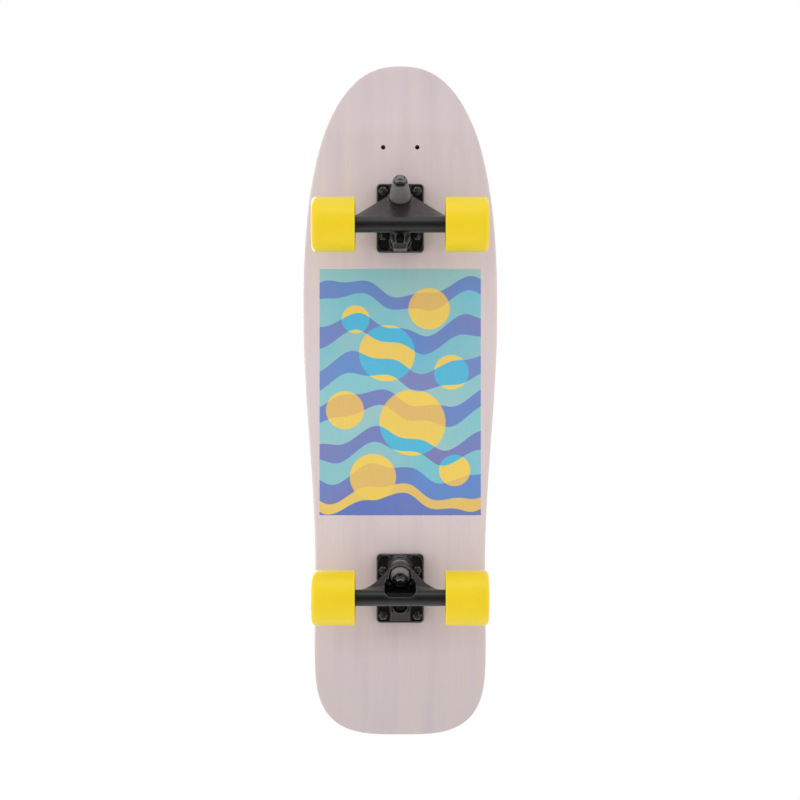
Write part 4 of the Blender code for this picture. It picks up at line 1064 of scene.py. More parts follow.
@dataclass(frozen=True)
class Board:
    """Deck and grip tape, measured flat along the middle ply before the press."""

    thickness: float = 11.0 * MM  # of the deck
    nose_tip: float = 413.45 * MM  # from the middle to the nose
    tail_tip: float = -413.65 * MM  # from the middle to the tail
    nose_bend: float = 321.51 * MM  # where the nose starts to rise
    tail_bend: float = -279.53 * MM  # where the tail starts to rise
    nose_kick: float = math.radians(12.0)  # the nose's angle
    tail_kick: float = math.radians(18.0)  # the tail's angle
    bend_radius: float = 90.0 * MM  # of both bends
    edge_radius: float = 3.0 * MM  # of the deck's edges
    nose_width: float = 236.4 * MM  # widest, behind the nose
    waist_width: float = 206.6 * MM  # narrowest, ahead of the rear truck
    tail_width: float = 208.4 * MM  # widest, ahead of the tail
    nose_round: float = 300.0 * MM  # length of the nose's round
    tail_round: float = 112.0 * MM  # length of the tail's round
    waist: float = 201.5 * MM  # from the middle to the waist
    nose_roundness: float = 2.4  # exponent of the nose's superellipse
    tail_roundness: float = 3.3  # exponent of the tail's
    concave_rise: float = 6.0 * MM  # height of the rails over the middle
    concave_flat: float = 60.0 * MM  # width of the flat middle
    concave_at_tips: float = 0.5  # share of the concave left at the tips
    grip_inset: float = 1.5 * MM  # from the deck's edge to the tape's
    grip_bottom: float = 11.3 * MM  # from the underside to the tape
    step_along: float = 9.0 * MM  # distance between the lines across the mesh
    step_across: float = 8.0 * MM  # distance between the lines along it
    bend_steps: int = 12  # lines across each bend
    outline_steps: int = 40  # points on each quarter and each side of the outline

    def bent(self, distance: float, kick: float) -> tuple[float, float, float]:
        """Follows a kick.

        Args:
            distance: Past the kick's bend line.
            kick: The kick's angle.

        Returns:
            How far along and how high the point lies, and the slope there.
        """
        arc = self.bend_radius * kick
        turn = min(distance, arc) / self.bend_radius
        past = max(distance - arc, 0.0)
        along = self.bend_radius * math.sin(turn) + past * math.cos(kick)
        high = self.bend_radius * (1.0 - math.cos(turn)) + past * math.sin(kick)
        return along, high, turn

    def pressed_line(self, s: float) -> tuple[float, float, float, float]:
        """Follows the underside's middle line.

        Args:
            s: The flat distance from the board's middle.

        Returns:
            The place (x, z) and the normal (x, z) there.
        """
        if s > self.nose_bend:
            along, high, turn = self.bent(s - self.nose_bend, self.nose_kick)
            return self.nose_bend + along, high, -math.sin(turn), math.cos(turn)
        if s < self.tail_bend:
            along, high, turn = self.bent(self.tail_bend - s, self.tail_kick)
            return self.tail_bend - along, high, math.sin(turn), math.cos(turn)
        return s, 0.0, 0.0, 1.0

    def tip_share(self, s: float) -> float:
        """Tells how near a tip is.

        Args:
            s: The flat distance from the board's middle.

        Returns:
            0 between the bends, rising to 1 at a tip.
        """
        nose = (s - self.nose_bend) / (self.nose_tip - self.nose_bend)
        tail = (self.tail_bend - s) / (self.tail_bend - self.tail_tip)
        return min(max(nose, tail, 0.0), 1.0)

    def pressed(self, point: Vector) -> Vector:
        """Presses a point of the flat board.

        Args:
            point: Along the board, across it and over its underside.

        Returns:
            Its place in the world.
        """
        s, y, height = point
        flat = self.concave_flat / 2.0
        span = self.nose_width / 2.0 - flat
        out = max(abs(y) - flat, 0.0) / span
        depth = self.concave_rise * (1.0 - (1.0 - self.concave_at_tips) * self.tip_share(s))
        lean = math.atan(2.0 * depth * out / span)
        rise = depth * out * out + height * math.cos(lean)
        x, z, normal_x, normal_z = self.pressed_line(s)
        return Vector((
            FIT.shift + x + normal_x * rise,
            y - math.copysign(height * math.sin(lean), y),
            FIT.deck_bottom + z + normal_z * rise,
        ))

    @property
    def shoulders(self) -> tuple[float, float]:
        """Where the nose's and the tail's rounds end."""
        return self.nose_tip - self.nose_round, self.tail_tip + self.tail_round

    def side_half_width(self, s: float) -> float:
        """Gives the half width between the two rounds.

        Args:
            s: The flat distance from the board's middle.

        Returns:
            The half width there.
        """
        nose_shoulder, tail_shoulder = self.shoulders
        if s > -self.waist:
            share = (nose_shoulder - s) / (nose_shoulder + self.waist)
            wide = self.nose_width
        else:
            share = (s - tail_shoulder) / (-self.waist - tail_shoulder)
            wide = self.tail_width
        blend = (1.0 + math.cos(math.pi * share)) / 2.0
        return (self.waist_width + (wide - self.waist_width) * blend) / 2.0

    def quarter(self, reach: float, half_width: float, roundness: float) -> Points:
        """Lists the points of a quarter of a superellipse, from its tip to its side.

        Args:
            reach: From its middle to its tip.
            half_width: From its middle to its side.
            roundness: Its exponent.

        Returns:
            Points along and across the board.
        """
        points = []
        for step in range(self.outline_steps + 1):
            angle = math.pi / 2.0 * step / self.outline_steps
            along, across = max(math.cos(angle), 0.0), max(math.sin(angle), 0.0)
            points.append((reach * along ** (2.0 / roundness), half_width * across ** (2.0 / roundness)))
        return points

    def outline(self, inset: float) -> Points:
        """Lists the points round the flat board.

        Args:
            inset: How far they are drawn in.

        Returns:
            (s, y) points, counter-clockwise from the nose.
        """
        start, end = self.shoulders
        nose = self.quarter(self.nose_round - inset, self.nose_width / 2.0 - inset, self.nose_roundness)
        tail = self.quarter(self.tail_round - inset, self.tail_width / 2.0 - inset, self.tail_roundness)
        left = [(start + along, across) for along, across in nose]
        for step in range(1, self.outline_steps):
            s = start + (end - start) * step / self.outline_steps
            left.append((s, self.side_half_width(s) - inset))
        left += [(end - along, across) for along, across in reversed(tail)]
        return left + mirrored(left[1:-1])

    def hole(self, head: bool) -> BMesh:
        """Makes the tool for a bolt hole.

        Args:
            head: Whether the hole is countersunk at the top.

        Returns:
            The tool, from under the deck up.
        """
        radius = FIT.bolt + FIT.hole
        over = FIT.grip_top + self.thickness
        if not head:
            return rod(radius, -self.thickness, over, 32)
        wide = FIT.bolt_head + FIT.hole
        top = FIT.grip_top - FIT.hole
        start = top - (FIT.bolt_head - FIT.bolt)
        profile = [
            (0.0, -self.thickness), (radius, -self.thickness), (radius, start), (wide, top), (wide, over),
            (0.0, over),
        ]
        return spun(profile, 32, ring=False)

    def bored(self, bm: BMesh, spare: bool) -> BMesh:
        """Bores the bolt holes through a flat layer.

        Args:
            bm: The layer.
            spare: Whether the row of holes past the front truck is bored too.

        Returns:
            The bored layer.
        """
        rows = [way * (FIT.middle_to_row + row) for way in (1.0, -1.0) for row in (0.0, FIT.row_spacing)]
        places = [(row, True) for row in rows]
        if spare:
            places.append((FIT.middle_to_row + 2.0 * FIT.row_spacing, False))
        steps = []
        for s, head in places:
            for side in (1.0, -1.0):
                place = Matrix.Translation((s, side * FIT.side_spacing / 2.0, 0.0))
                steps.append((Joining.CUT, placed(self.hole(head), place)))
        return worked(bm, steps)

    def layer(self, inset: float, bottom: float, top: float, edge_radius: float, spare: bool) -> BMesh:
        """Cuts one layer flat, divides it and presses it.

        Args:
            inset: From the deck's outline.
            bottom: Its lower face over the underside.
            top: Its upper face.
            edge_radius: Of its edges.
            spare: Whether it has the unused holes.

        Returns:
            The pressed layer, with "flat" on its points.
        """
        bm = swept([(s, y, bottom) for s, y in self.outline(inset)], (0.0, 0.0, top - bottom))
        level = [e for e in bm.edges if abs(e.verts[0].co.z - e.verts[1].co.z) < 1e-7]
        rounded(bm, level, edge_radius, 5 if edge_radius > MM else 2)
        bm = self.bored(bm, spare)
        cuts = round((self.nose_tip - self.tail_tip) / self.step_along)
        for index in range(1, cuts):
            s = self.tail_tip + (self.nose_tip - self.tail_tip) * index / cuts
            sliced(bm, (s, 0.0, 0.0), (1.0, 0.0, 0.0))
        bends = ((self.nose_bend, 1.0, self.nose_kick), (self.tail_bend, -1.0, self.tail_kick))
        for bend, way, kick in bends:
            for index in range(self.bend_steps + 1):
                s = bend + way * self.bend_radius * kick * index / self.bend_steps
                sliced(bm, (s, 0.0, 0.0), (1.0, 0.0, 0.0))
        lines = round(self.nose_width / 2.0 / self.step_across)
        for index in range(-lines, lines + 1):
            sliced(bm, (0.0, self.step_across * index, 0.0), (0.0, 1.0, 0.0))
        flat = bm.verts.layers.float_vector.new("flat")
        for vert in bm.verts:
            vert[flat] = vert.co
            vert.co = self.pressed(vert.co)
        bmesh.ops.recalc_face_normals(bm, faces=bm.faces)
        bmesh.ops.triangulate(bm, faces=bm.faces)
        return bm

    def build(self) -> None:
        """Builds the deck and its grip tape."""
        deck = self.layer(0.0, 0.0, self.thickness, self.edge_radius, True)
        piece("pressed_deck", deck, MAPLE, "board", ["deck"], crease=28.0)
        sheet = self.layer(self.grip_inset, self.grip_bottom, FIT.grip_top, 0.25 * MM, False)
        piece("grip_sheet", sheet, GRIT, "board", ["grip_tape"], crease=28.0)


# Fasteners


def chamfered_hexagon(width: float, bottom: float, top: float, both: bool = True) -> BMesh:
    """Makes a hexagon bar whose corners are turned off.

    Args:
        width: Across its flats.
        bottom: Its lower end.
        top: Its upper end.
        both: Whether both ends are turned, or only the upper.

    Returns:
        The bar.
    """
    corner = width / 2.0 / math.cos(math.pi / 6.0)
    flat = 0.96 * width / 2.0
    fall = (corner - flat) * math.tan(math.radians(30.0))
    low = [(0.0, bottom), (flat, bottom), (corner, bottom + fall)]
    if not both:
        low = [(0.0, bottom), (corner + MM, bottom)]
    high = [(corner, top - fall), (flat, top), (0.0, top)]
    if not both:
        high[0] = (corner + MM, top - fall - MM * math.tan(math.radians(30.0)))
    barrel = spun(low + high, 72, ring=False)
    return worked(rod(corner, bottom, top, 6), [(Joining.KEEP, barrel)])


def lock_nut(width: float, height: float, bore: float) -> tuple[BMesh, BMesh]:
    """Makes a lock nut on Z.

    Args:
        width: Across its flats.
        height: Its height.
        bore: The radius of its bore.

    Returns:
        The nut, and its nylon ring.
    """
    shoulder = 0.76 * height
    crown = 0.42 * width
    hexagon = chamfered_hexagon(width, 0.0, shoulder)
    lip = 0.25 * (height - shoulder)
    collar = spun(
        [
            (0.0, 0.5 * shoulder), (crown, 0.5 * shoulder), (crown, height - 2.0 * lip),
            (crown - 0.6 * lip, height - 0.6 * lip), (crown - 2.0 * lip, height), (0.0, height),
        ],
        64, ring=False,
    )
    ring_outer = 0.5 * (bore + crown)
    nut = worked(hexagon, [
        (Joining.ADD, collar),
        (Joining.CUT, rod(bore, -height, 2.0 * height, 48)),
        (Joining.CUT, rod(ring_outer, shoulder - 0.1 * MM, 2.0 * height, 48)),
    ])
    ring = softened(sleeve(bore, ring_outer - 0.05 * MM, shoulder, height - 0.5 * lip), 0.15 * MM)
    return nut, ring


def threaded(radius: float, start: float, end: float, pitch: float, depth: float) -> Points:
    """Lists the points of a threaded length.

    Args:
        radius: Over the crests.
        start: Where it starts.
        end: Where it ends.
        pitch: From crest to crest.
        depth: Of the grooves.

    Returns:
        (radius, z) points.
    """
    turns = max(int((end - start) / pitch), 1)
    points = []
    for turn in range(turns):
        z = start + (end - start) * turn / turns
        step = (end - start) / turns
        points += [(radius, z + 0.1 * step), (radius - depth, z + 0.5 * step), (radius, z + 0.9 * step)]
    return points


@dataclass(frozen=True)
class TruckPart:
    """Something that one truck carries."""

    truck: TruckLayout  # where its axes lie

    @property
    def ends(self) -> tuple[float, float]:
        """The inboard and the outboard edge of the baseplate and its riser."""
        inboard, outboard = self.truck.rows
        return inboard - FIT.plate_inboard, outboard + FIT.plate_outboard

    def add(
        self,
        label: str,
        bm: BMesh,
        place: Matrix,
        finish: Finish,
        node: str | None = None,
        body: str | None = "board",
        crease: float = 35.0,
    ) -> Object:
        """Adds a piece whose name starts with the truck's, as its node's does.

        Args:
            label: The rest of its name.
            bm: Its mesh.
            place: Its frame in the world.
            finish: Its surface.
            node: The rest of the name of the CAD node that it replaces, if there is one.
            body: The body that it rides on, or nothing.
            crease: Edges sharper than this many degrees stay sharp.

        Returns:
            The piece.
        """
        name = self.truck.name
        stands_for = [f"{name}_{node}"] if node else []
        return piece(f"{name}_{label}", placed(bm, place), finish, body, stands_for, crease)

    def bolt_holes(self, bottom: float, top: float) -> list[tuple[Joining, BMesh]]:
        """Makes the cuts for the truck's four bolts.

        Args:
            bottom: Their lower end.
            top: Their upper end.

        Returns:
            The cuts.
        """
        radius = FIT.bolt + FIT.hole
        return [
            (Joining.CUT, placed(rod(radius, bottom, top, 32), Matrix.Translation((u, v, 0.0))))
            for u, v in self.truck.bolts
        ]


@dataclass(frozen=True)
class DeckFasteners(TruckPart):
    """Riser pad, deck bolts and nuts of one truck."""

    thickness: float = 3.0 * MM  # of the riser
    window_width: float = 19.0 * MM  # of the riser's opening for the kingpin's head
    window_inboard: float = 9.0 * MM  # from where the kingpin's axis meets the mounting face
    window_outboard: float = 14.0 * MM  # the same, outboard
    window_corner: float = 3.0 * MM  # of the opening
    nut_width: float = 9.5 * MM  # of a deck nut
    nut_height: float = 4.7 * MM  # of a deck nut
    proud: float = 1.4 * MM  # how far a bolt stands out of its nut
    # half length, half width and depth of the cross in a bolt's head
    cross: tuple[float, float, float] = (2.7 * MM, 0.65 * MM, 2.2 * MM)

    def riser(self) -> BMesh:
        """Cuts the riser pad."""
        inboard, outboard = self.ends
        half = FIT.plate_width / 2.0
        low, high = (inboard, -half, -FIT.gap - self.thickness), (outboard, half, -FIT.gap)
        pad = softened(rounded_box(low, high, FIT.plate_corner), 0.35 * MM)
        foot = self.truck.ring[0] - self.truck.ring[1] * math.tan(self.truck.lean)
        window = rounded_box(
            (foot - self.window_inboard, -self.window_width / 2.0, -2.0 * self.thickness),
            (foot + self.window_outboard, self.window_width / 2.0, self.thickness),
            self.window_corner,
        )
        holes = self.bolt_holes(-3.0 * self.thickness, self.thickness)
        return worked(pad, [(Joining.CUT, window), *holes])

    def bolt(self) -> BMesh:
        """Turns one countersunk bolt and stamps the cross in its head."""
        head = -FIT.mount_depth - FIT.grip_top
        tip = FIT.plate_floor + FIT.gap + self.nut_height + self.proud
        cone = FIT.bolt_head - FIT.bolt
        thread = threaded(FIT.bolt, FIT.plate_floor, tip - 0.6 * MM, pitch=0.8 * MM, depth=0.35 * MM)
        profile = [
            (0.0, head), (FIT.bolt_head - 0.3 * MM, head), (FIT.bolt_head, head + 0.3 * MM),
            (FIT.bolt, head + cone), *thread, (FIT.bolt - 0.5 * MM, tip), (0.0, tip),
        ]
        steps = []
        half, thin, depth = self.cross
        for turn in (0.0, math.pi / 2.0):
            slot = box((-half, -thin, head - MM), (half, thin, head + depth))
            deep = [v for v in slot.verts if v.co.z > head]
            bmesh.ops.scale(slot, vec=(0.35, 0.75, 1.0), verts=deep)
            steps.append((Joining.CUT, placed(slot, Matrix.Rotation(turn, 4, "Z"))))
        return worked(spun(profile, 40, ring=False), steps)

    def build(self) -> None:
        """Builds the riser, the bolts and the nuts."""
        self.add("riser_pad", self.riser(), self.truck.world, RISER_RUBBER, "riser")
        for index, (u, v) in enumerate(self.truck.bolts, start=1):
            place = self.truck.world @ Matrix.Translation((u, v, 0.0))
            spot = place @ Matrix.Rotation(0.7 * index, 4, "Z")
            self.add(f"deck_screw_{index}", self.bolt(), spot, BLACK_OXIDE, f"deck_bolt_{index}")
            nut, ring = lock_nut(self.nut_width, self.nut_height, FIT.bolt + FIT.gap)
            seat = place @ raised(FIT.plate_floor + FIT.gap)
            self.add(f"deck_lock_nut_{index}", nut, seat, BLACK_OXIDE, f"deck_nut_{index}")
            self.add(f"deck_nut_nylon_{index}", ring, seat, NYLON)


@dataclass(frozen=True)
class KingpinStack(TruckPart):
    """Kingpin with its bushings, washers and lock nut."""

    head_height: float = 5.0 * MM  # of the kingpin's head
    nut_width: float = 14.3 * MM  # across the flats of the nut
    nut_height: float = 6.0 * MM  # of the nut
    proud: float = 1.0 * MM  # how far the kingpin stands out of it
    thread_pitch: float = 1.06 * MM  # of the kingpin's end
    washer_lip: float = 2.6 * MM  # how far a cupped washer's lip rises round its bushing

    @property
    def bore(self) -> float:
        """The radius of every hole on the kingpin."""
        return FIT.kingpin + FIT.gap

    def pin(self) -> BMesh:
        """Turns the kingpin and joins its hexagon head."""
        truck = self.truck
        face = -truck.seat - FIT.seat_wall - FIT.gap
        end = truck.nut_start + self.nut_height + self.proud
        start = truck.nut_start - 4.0 * MM
        thread = threaded(FIT.kingpin, start, end - 0.9 * MM, self.thread_pitch, 0.5 * MM)
        shank = [(0.0, face - 1.0 * MM), (FIT.kingpin, face - 1.0 * MM), *thread]
        shank += [(FIT.kingpin - 0.9 * MM, end), (0.0, end)]
        head = chamfered_hexagon(FIT.kingpin_head, face - self.head_height, face)
        return worked(head, [(Joining.ADD, spun(shank, 48, ring=False))])

    def cupped_washer(self) -> BMesh:
        """Turns the washer whose lip holds the board side bushing."""
        thick = FIT.cup_washer_thickness
        radius = FIT.cup_washer
        profile = [
            (self.bore, 0.0), (radius - 1.0 * MM, 0.0), (radius, 1.0 * MM), (radius, self.washer_lip),
            (radius - 0.7 * MM, self.washer_lip), (radius - 0.8 * MM, thick), (self.bore, thick),
        ]
        return softened(spun(profile, 72), 0.15 * MM)

    def boardside(self) -> BMesh:
        """Turns the barrel bushing, narrower in its washer's lip."""
        size = self.truck.boardside
        held = self.washer_lip - FIT.cup_washer_thickness + 0.2 * MM
        narrow = FIT.cup_washer - 1.3 * MM
        profile = [
            (self.bore, 0.0), (narrow, 0.0), (narrow, held), (size.base, held + 1.6 * MM),
            (size.base, size.height - 1.6 * MM), (size.base - 0.8 * MM, size.height),
            (self.bore, size.height),
        ]
        return softened(spun(profile, 72), 0.6 * MM, 4, 20.0)

    def roadside(self) -> BMesh:
        """Turns the cone bushing, its side a shallow curve."""
        size = self.truck.roadside
        steps = 14
        side = []
        for index in range(steps + 1):
            share = index / steps
            radius = size.base + (size.top - size.base) * share + 0.35 * MM * math.sin(math.pi * share)
            side.append((radius, size.height * (0.05 + 0.9 * share)))
        profile = [
            (self.bore, 0.0), (size.base - 0.7 * MM, 0.0), *side, (size.top - 0.7 * MM, size.height),
            (self.bore, size.height),
        ]
        return softened(spun(profile, 72), 0.3 * MM, 3, 40.0)

    def build(self) -> None:
        """Builds the stack."""
        truck = self.truck
        self.add("kingpin_bolt", self.pin(), truck.along_kingpin(0.0), BLACK_OXIDE, "kingpin")
        place = truck.along_kingpin(-truck.seat + FIT.gap)
        self.add("cupped_washer", self.cupped_washer(), place, ZINC, "boardside_washer")
        flat = softened(sleeve(self.bore, FIT.top_washer, 0.0, FIT.top_washer_thickness, 72), 0.2 * MM)
        place = truck.along_kingpin(truck.nut_start - FIT.gap - FIT.top_washer_thickness)
        self.add("top_washer", flat, place, BLACK_OXIDE, "roadside_washer")
        nut, ring = lock_nut(self.nut_width, self.nut_height, self.bore)
        # a flat of the nut faces the road
        place = truck.along_kingpin(truck.nut_start) @ Matrix.Rotation(math.pi / 6.0, 4, "Z")
        self.add("kingpin_lock_nut", nut, place, BLACK_OXIDE, "kingpin_nut")
        self.add("kingpin_nylon", ring, place, NYLON)
        # each bushing lies between its washer and the ring
        high = truck.ring_half + FIT.gap
        low = -high - truck.boardside.height
        bushings = (
            ("barrel", "boardside", self.boardside(), low, low, -high),
            ("cone", "roadside", self.roadside(), high, high + truck.roadside.height, high),
        )
        for label, node, bm, start, fixed, free in bushings:
            place = truck.along_kingpin(start)
            made = self.add(f"{label}_bushing", bm, place, GREY_URETHANE, f"{node}_bushing", None, 60.0)
            truck.along_kingpin(fixed).translation
            truck.along_kingpin(free).translation
            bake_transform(made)


# Castings


@dataclass(frozen=True)
class Baseplate(TruckPart):
    """Cast base with nut pockets, the bushing's seat and the pivot cup."""

    height: float = 7.0 * MM  # of the plate
    rim: float = 1.8 * MM  # round the pockets
    hump_width: float = 25.0 * MM  # of the middle between the pockets
    pocket_corner: float = 3.5 * MM  # of the pockets
    pocket_inner_corner: float = 9.0 * MM  # of their corner at the inboard hump
    boss_radius: float = 14.2 * MM  # of the bushing's seat
    seat_rim: float = 0.9 * MM  # of the seat round its washer
    cup_boss_wall: float = 2.6 * MM  # round the pivot cup
    boss_foot: float = 1.5 * MM  # height at which a boss starts
    boss_inset: float = 0.5 * MM  # from the inboard edge
    block_foot: float = 2.0 * MM  # height at which the tower and the saddle start
    tower_half: float = 8.0 * MM  # half of the front tower's width
    tower_foot: float = 13.4 * MM  # radius of the tower's round foot
    tower_foot_at: float = 14.0 * MM  # from the inboard edge to the middle of that foot
    # radii of the front pivot cup's boss at its mouth and at its end
    front_boss: tuple[float, float] = (12.0 * MM, 8.4 * MM)
    slot_floor: float = 3.4 * MM  # from the pivot's axis to the floor of the slot in its boss
    slot_half: float = 9.4 * MM  # half of the rear slot's width, and its depth past the cup's mouth
    slot_corner: float = 7.8 * MM  # of the rear slot's inner end
    saddle_half: float = 11.2 * MM  # half of the rear saddle's width
    # inboard end, outboard end, half width and floor of the hollow between the rear pockets
    room: tuple[float, float, float, float] = (-15.0 * MM, 8.5 * MM, 11.5 * MM, 4.0 * MM)
    voxel: float = 0.55 * MM  # grain of the cast skin
    passes: int = 3  # how often it is smoothed

    @property
    def cup_radius(self) -> float:
        """The outer radius of the pivot cup."""
        return FIT.nose + FIT.gap + FIT.cup_wall

    def trimmed(self, bm: BMesh) -> BMesh:
        """Trims a boss at the plate's foot and inboard edge."""
        sliced(bm, (0.0, 0.0, self.boss_foot), (0.0, 0.0, -1.0), trim=True)
        return sliced(bm, (self.ends[0] + self.boss_inset, 0.0, 0.0), (-1.0, 0.0, 0.0), trim=True)

    def pocket(self, side: float) -> BMesh:
        """Makes the tool for one nut pocket.

        Args:
            side: 1 or -1.

        Returns:
            The tool.
        """
        inboard, outboard = self.ends
        inner, outer = side * self.hump_width / 2.0, side * (FIT.plate_width / 2.0 - self.rim)
        bm = box(
            (inboard + self.rim, min(inner, outer), FIT.plate_floor),
            (outboard - self.rim, max(inner, outer), 2.0 * self.height),
        )
        middle = (inboard + outboard) / 2.0
        far = [e for e in uprights(bm) if e.verts[0].co.x < middle and abs(e.verts[0].co.y) > abs(inner) + MM]
        rounded(bm, far, self.pocket_inner_corner, 10)
        near = [
            e for e in uprights(bm)
            if e.verts[0].co.x > middle or abs(e.verts[0].co.y) < abs(inner) + 0.1 * MM
        ]
        return rounded(bm, near, self.pocket_corner, 6)

    def front_tower(self) -> list[BMesh]:
        """Draws the tower that carries the front pivot cup, and turns its round foot."""
        truck = self.truck
        seat = truck.kingpin @ raised(-truck.seat - 0.5 * MM)
        low = seat @ Vector((0.0, -9.0 * MM, 0.0))
        high = seat @ Vector((0.0, self.boss_radius - 1.2 * MM, 0.0))
        start = truck.cup_from_ring + 0.8 * MM
        mouth = truck.steering @ Vector((0.0, 1.3 * MM, start))
        throat = truck.steering @ Vector((0.0, self.cup_radius + self.cup_boss_wall - 0.8 * MM, start))
        end = truck.steering @ Vector((0.0, 1.3 * MM, truck.cup_from_ring + FIT.cup_depth + 2.0 * MM))
        inboard = self.ends[0] + 2.0 * self.boss_inset
        side = [
            (inboard, self.block_foot), (low.x, self.block_foot), (low.x, low.z), (high.x, high.z),
            (throat.x, throat.z), (mouth.x, mouth.z), (end.x, end.z), (inboard, end.z - 7.0 * MM),
        ]
        half = self.tower_half
        foot = rod(self.tower_foot, self.block_foot, self.height + 1.6 * MM, 72)
        at = Matrix.Translation((self.ends[0] + self.tower_foot_at, 0.0, 0.0))
        return [swept([(u, -half, w) for u, w in side], (0.0, 2.0 * half, 0.0)), placed(foot, at)]

    def rear_saddle(self) -> BMesh:
        """Draws the block under the rear pivot cup."""
        truck = self.truck
        mouth = truck.steering @ Vector((0.0, 0.0, truck.cup_from_ring + 0.8 * MM))
        end = truck.steering @ Vector((0.0, 0.0, truck.cup_from_ring + FIT.cup_depth))
        outboard = self.ends[1] - 1.0 * MM
        side = [
            (mouth.x - 2.0 * MM, self.block_foot), (outboard, self.block_foot),
            (outboard, self.height - 0.5 * MM), (end.x + 4.0 * MM, end.z + 5.0 * MM), (mouth.x, mouth.z),
        ]
        return swept([(u, -self.saddle_half, w) for u, w in side], (0.0, 2.0 * self.saddle_half, 0.0))

    def cup_slot(self) -> BMesh:
        """Makes the tool for the slot that opens the pivot cup's boss to the road."""
        truck = self.truck
        start = truck.cup_from_ring
        if truck.end is End.NOSE:
            half = [(6.3 * MM, -3.0 * MM), (4.4 * MM, 8.0 * MM), (3.8 * MM, 14.0 * MM)]
            outline = half + [(-x, t) for x, t in reversed(half)]
            low, high = -20.0 * MM, -self.slot_floor
            slot = swept([(x, low, start + t) for x, t in outline], (0.0, high - low, 0.0))
        else:
            wide = self.slot_half
            slot = box((-wide, self.slot_floor, start - 3.0 * MM), (wide, 20.0 * MM, start + wide))
            far = [
                e for e in slot.edges
                if all(v.co.z > start for v in e.verts) and abs(e.verts[0].co.x - e.verts[1].co.x) < 1e-7
            ]
            rounded(slot, far, self.slot_corner, 10)
        return placed(slot, truck.steering)

    def build(self) -> None:
        """Builds the casting and its pivot cup."""
        truck = self.truck
        inboard, outboard = self.ends
        half = FIT.plate_width / 2.0
        plate = rounded_box((inboard, -half, 0.0), (outboard, half, self.height), FIT.plate_corner)
        steps = [(Joining.CUT, self.pocket(1.0)), (Joining.CUT, self.pocket(-1.0))]
        outer = end_outer = self.cup_radius + self.cup_boss_wall
        if truck.end is End.NOSE:
            steps += [(Joining.ADD, tool) for tool in self.front_tower()]
            outer, end_outer = self.front_boss
        else:
            steps.append((Joining.ADD, self.rear_saddle()))
            low, high, wide, floor = self.room
            room = rounded_box((low, -wide, floor), (high, wide, 2.0 * self.height), self.pocket_corner)
            steps.append((Joining.CUT, room))
        boss = rod(self.boss_radius, -truck.seat - 14.0 * MM, -truck.seat + self.seat_rim)
        steps.append((Joining.ADD, self.trimmed(placed(boss, truck.kingpin))))
        start = truck.cup_from_ring
        cup_boss = rod(outer, start, start + FIT.cup_depth + self.cup_boss_wall, 64, end_outer)
        steps.append((Joining.ADD, self.trimmed(placed(cup_boss, truck.steering))))
        steps.append((Joining.CUT, self.cup_slot()))
        corner = (FIT.kingpin_head / 2.0 + FIT.socket) / math.cos(math.pi / 6.0)
        cuts = [
            (rod(self.cup_radius + FIT.gap, start - 10.0 * MM, start + FIT.cup_depth), truck.steering),
            (rod(FIT.cup_washer + FIT.socket, -truck.seat, 0.0, 72), truck.kingpin),
            (rod(FIT.kingpin + FIT.gap, -truck.seat - 2.0 * FIT.seat_wall, 0.0), truck.kingpin),
            (rod(corner, -truck.seat - 60.0 * MM, -truck.seat - FIT.seat_wall, 6), truck.kingpin),
        ]
        steps += [(Joining.CUT, placed(tool, matrix)) for tool, matrix in cuts]
        steps += self.bolt_holes(-self.height, self.height)
        casting = cast(worked(plate, steps), self.voxel, self.passes)
        # the rear slot round the pivot gets painted shade
        if truck.end is End.TAIL:
            self.mark_slot(casting)
        self.add("base_casting", casting, truck.world, CAST_BLACK, "baseplate", crease=80.0)
        place = truck.world @ truck.steering @ raised(start)
        self.add("pivot_cup_lining", self.cup(), place, CUP_PLASTIC, "pivot_cup")

    def mark_slot(self, casting: BMesh) -> None:
        """Marks what lies in the rear slot round the pivot for painted shade.

        Args:
            casting: The casting, in the truck's frame.
        """
        layer = casting.verts.layers.float.new("shade_mask")
        back = self.truck.steering.inverted()
        edge, blur = self.slot_half - 0.2 * MM, 0.5 * MM
        for vert in casting.verts:
            x, y, z = back @ vert.co
            depth = z - self.truck.cup_from_ring
            inside = min(edge - abs(x), edge - depth, depth + 3.0 * MM, self.slot_floor + 1.2 * MM - y)
            vert[layer] = min(max(inside / blur, 0.0), 1.0)

    def cup(self) -> BMesh:
        """Turns the plastic cup round the pivot nose."""
        inner = FIT.nose + FIT.gap
        depth = FIT.cup_depth - FIT.gap
        floor = depth - 1.6 * MM
        cup = spun(
            [
                (0.0, floor), (0.5 * inner, floor), (inner, floor - 0.4 * inner), (inner, 0.0),
                (self.cup_radius, 0.0), (self.cup_radius, depth), (0.0, depth),
            ],
            64, ring=False,
        )
        return softened(cup, 0.25 * MM)


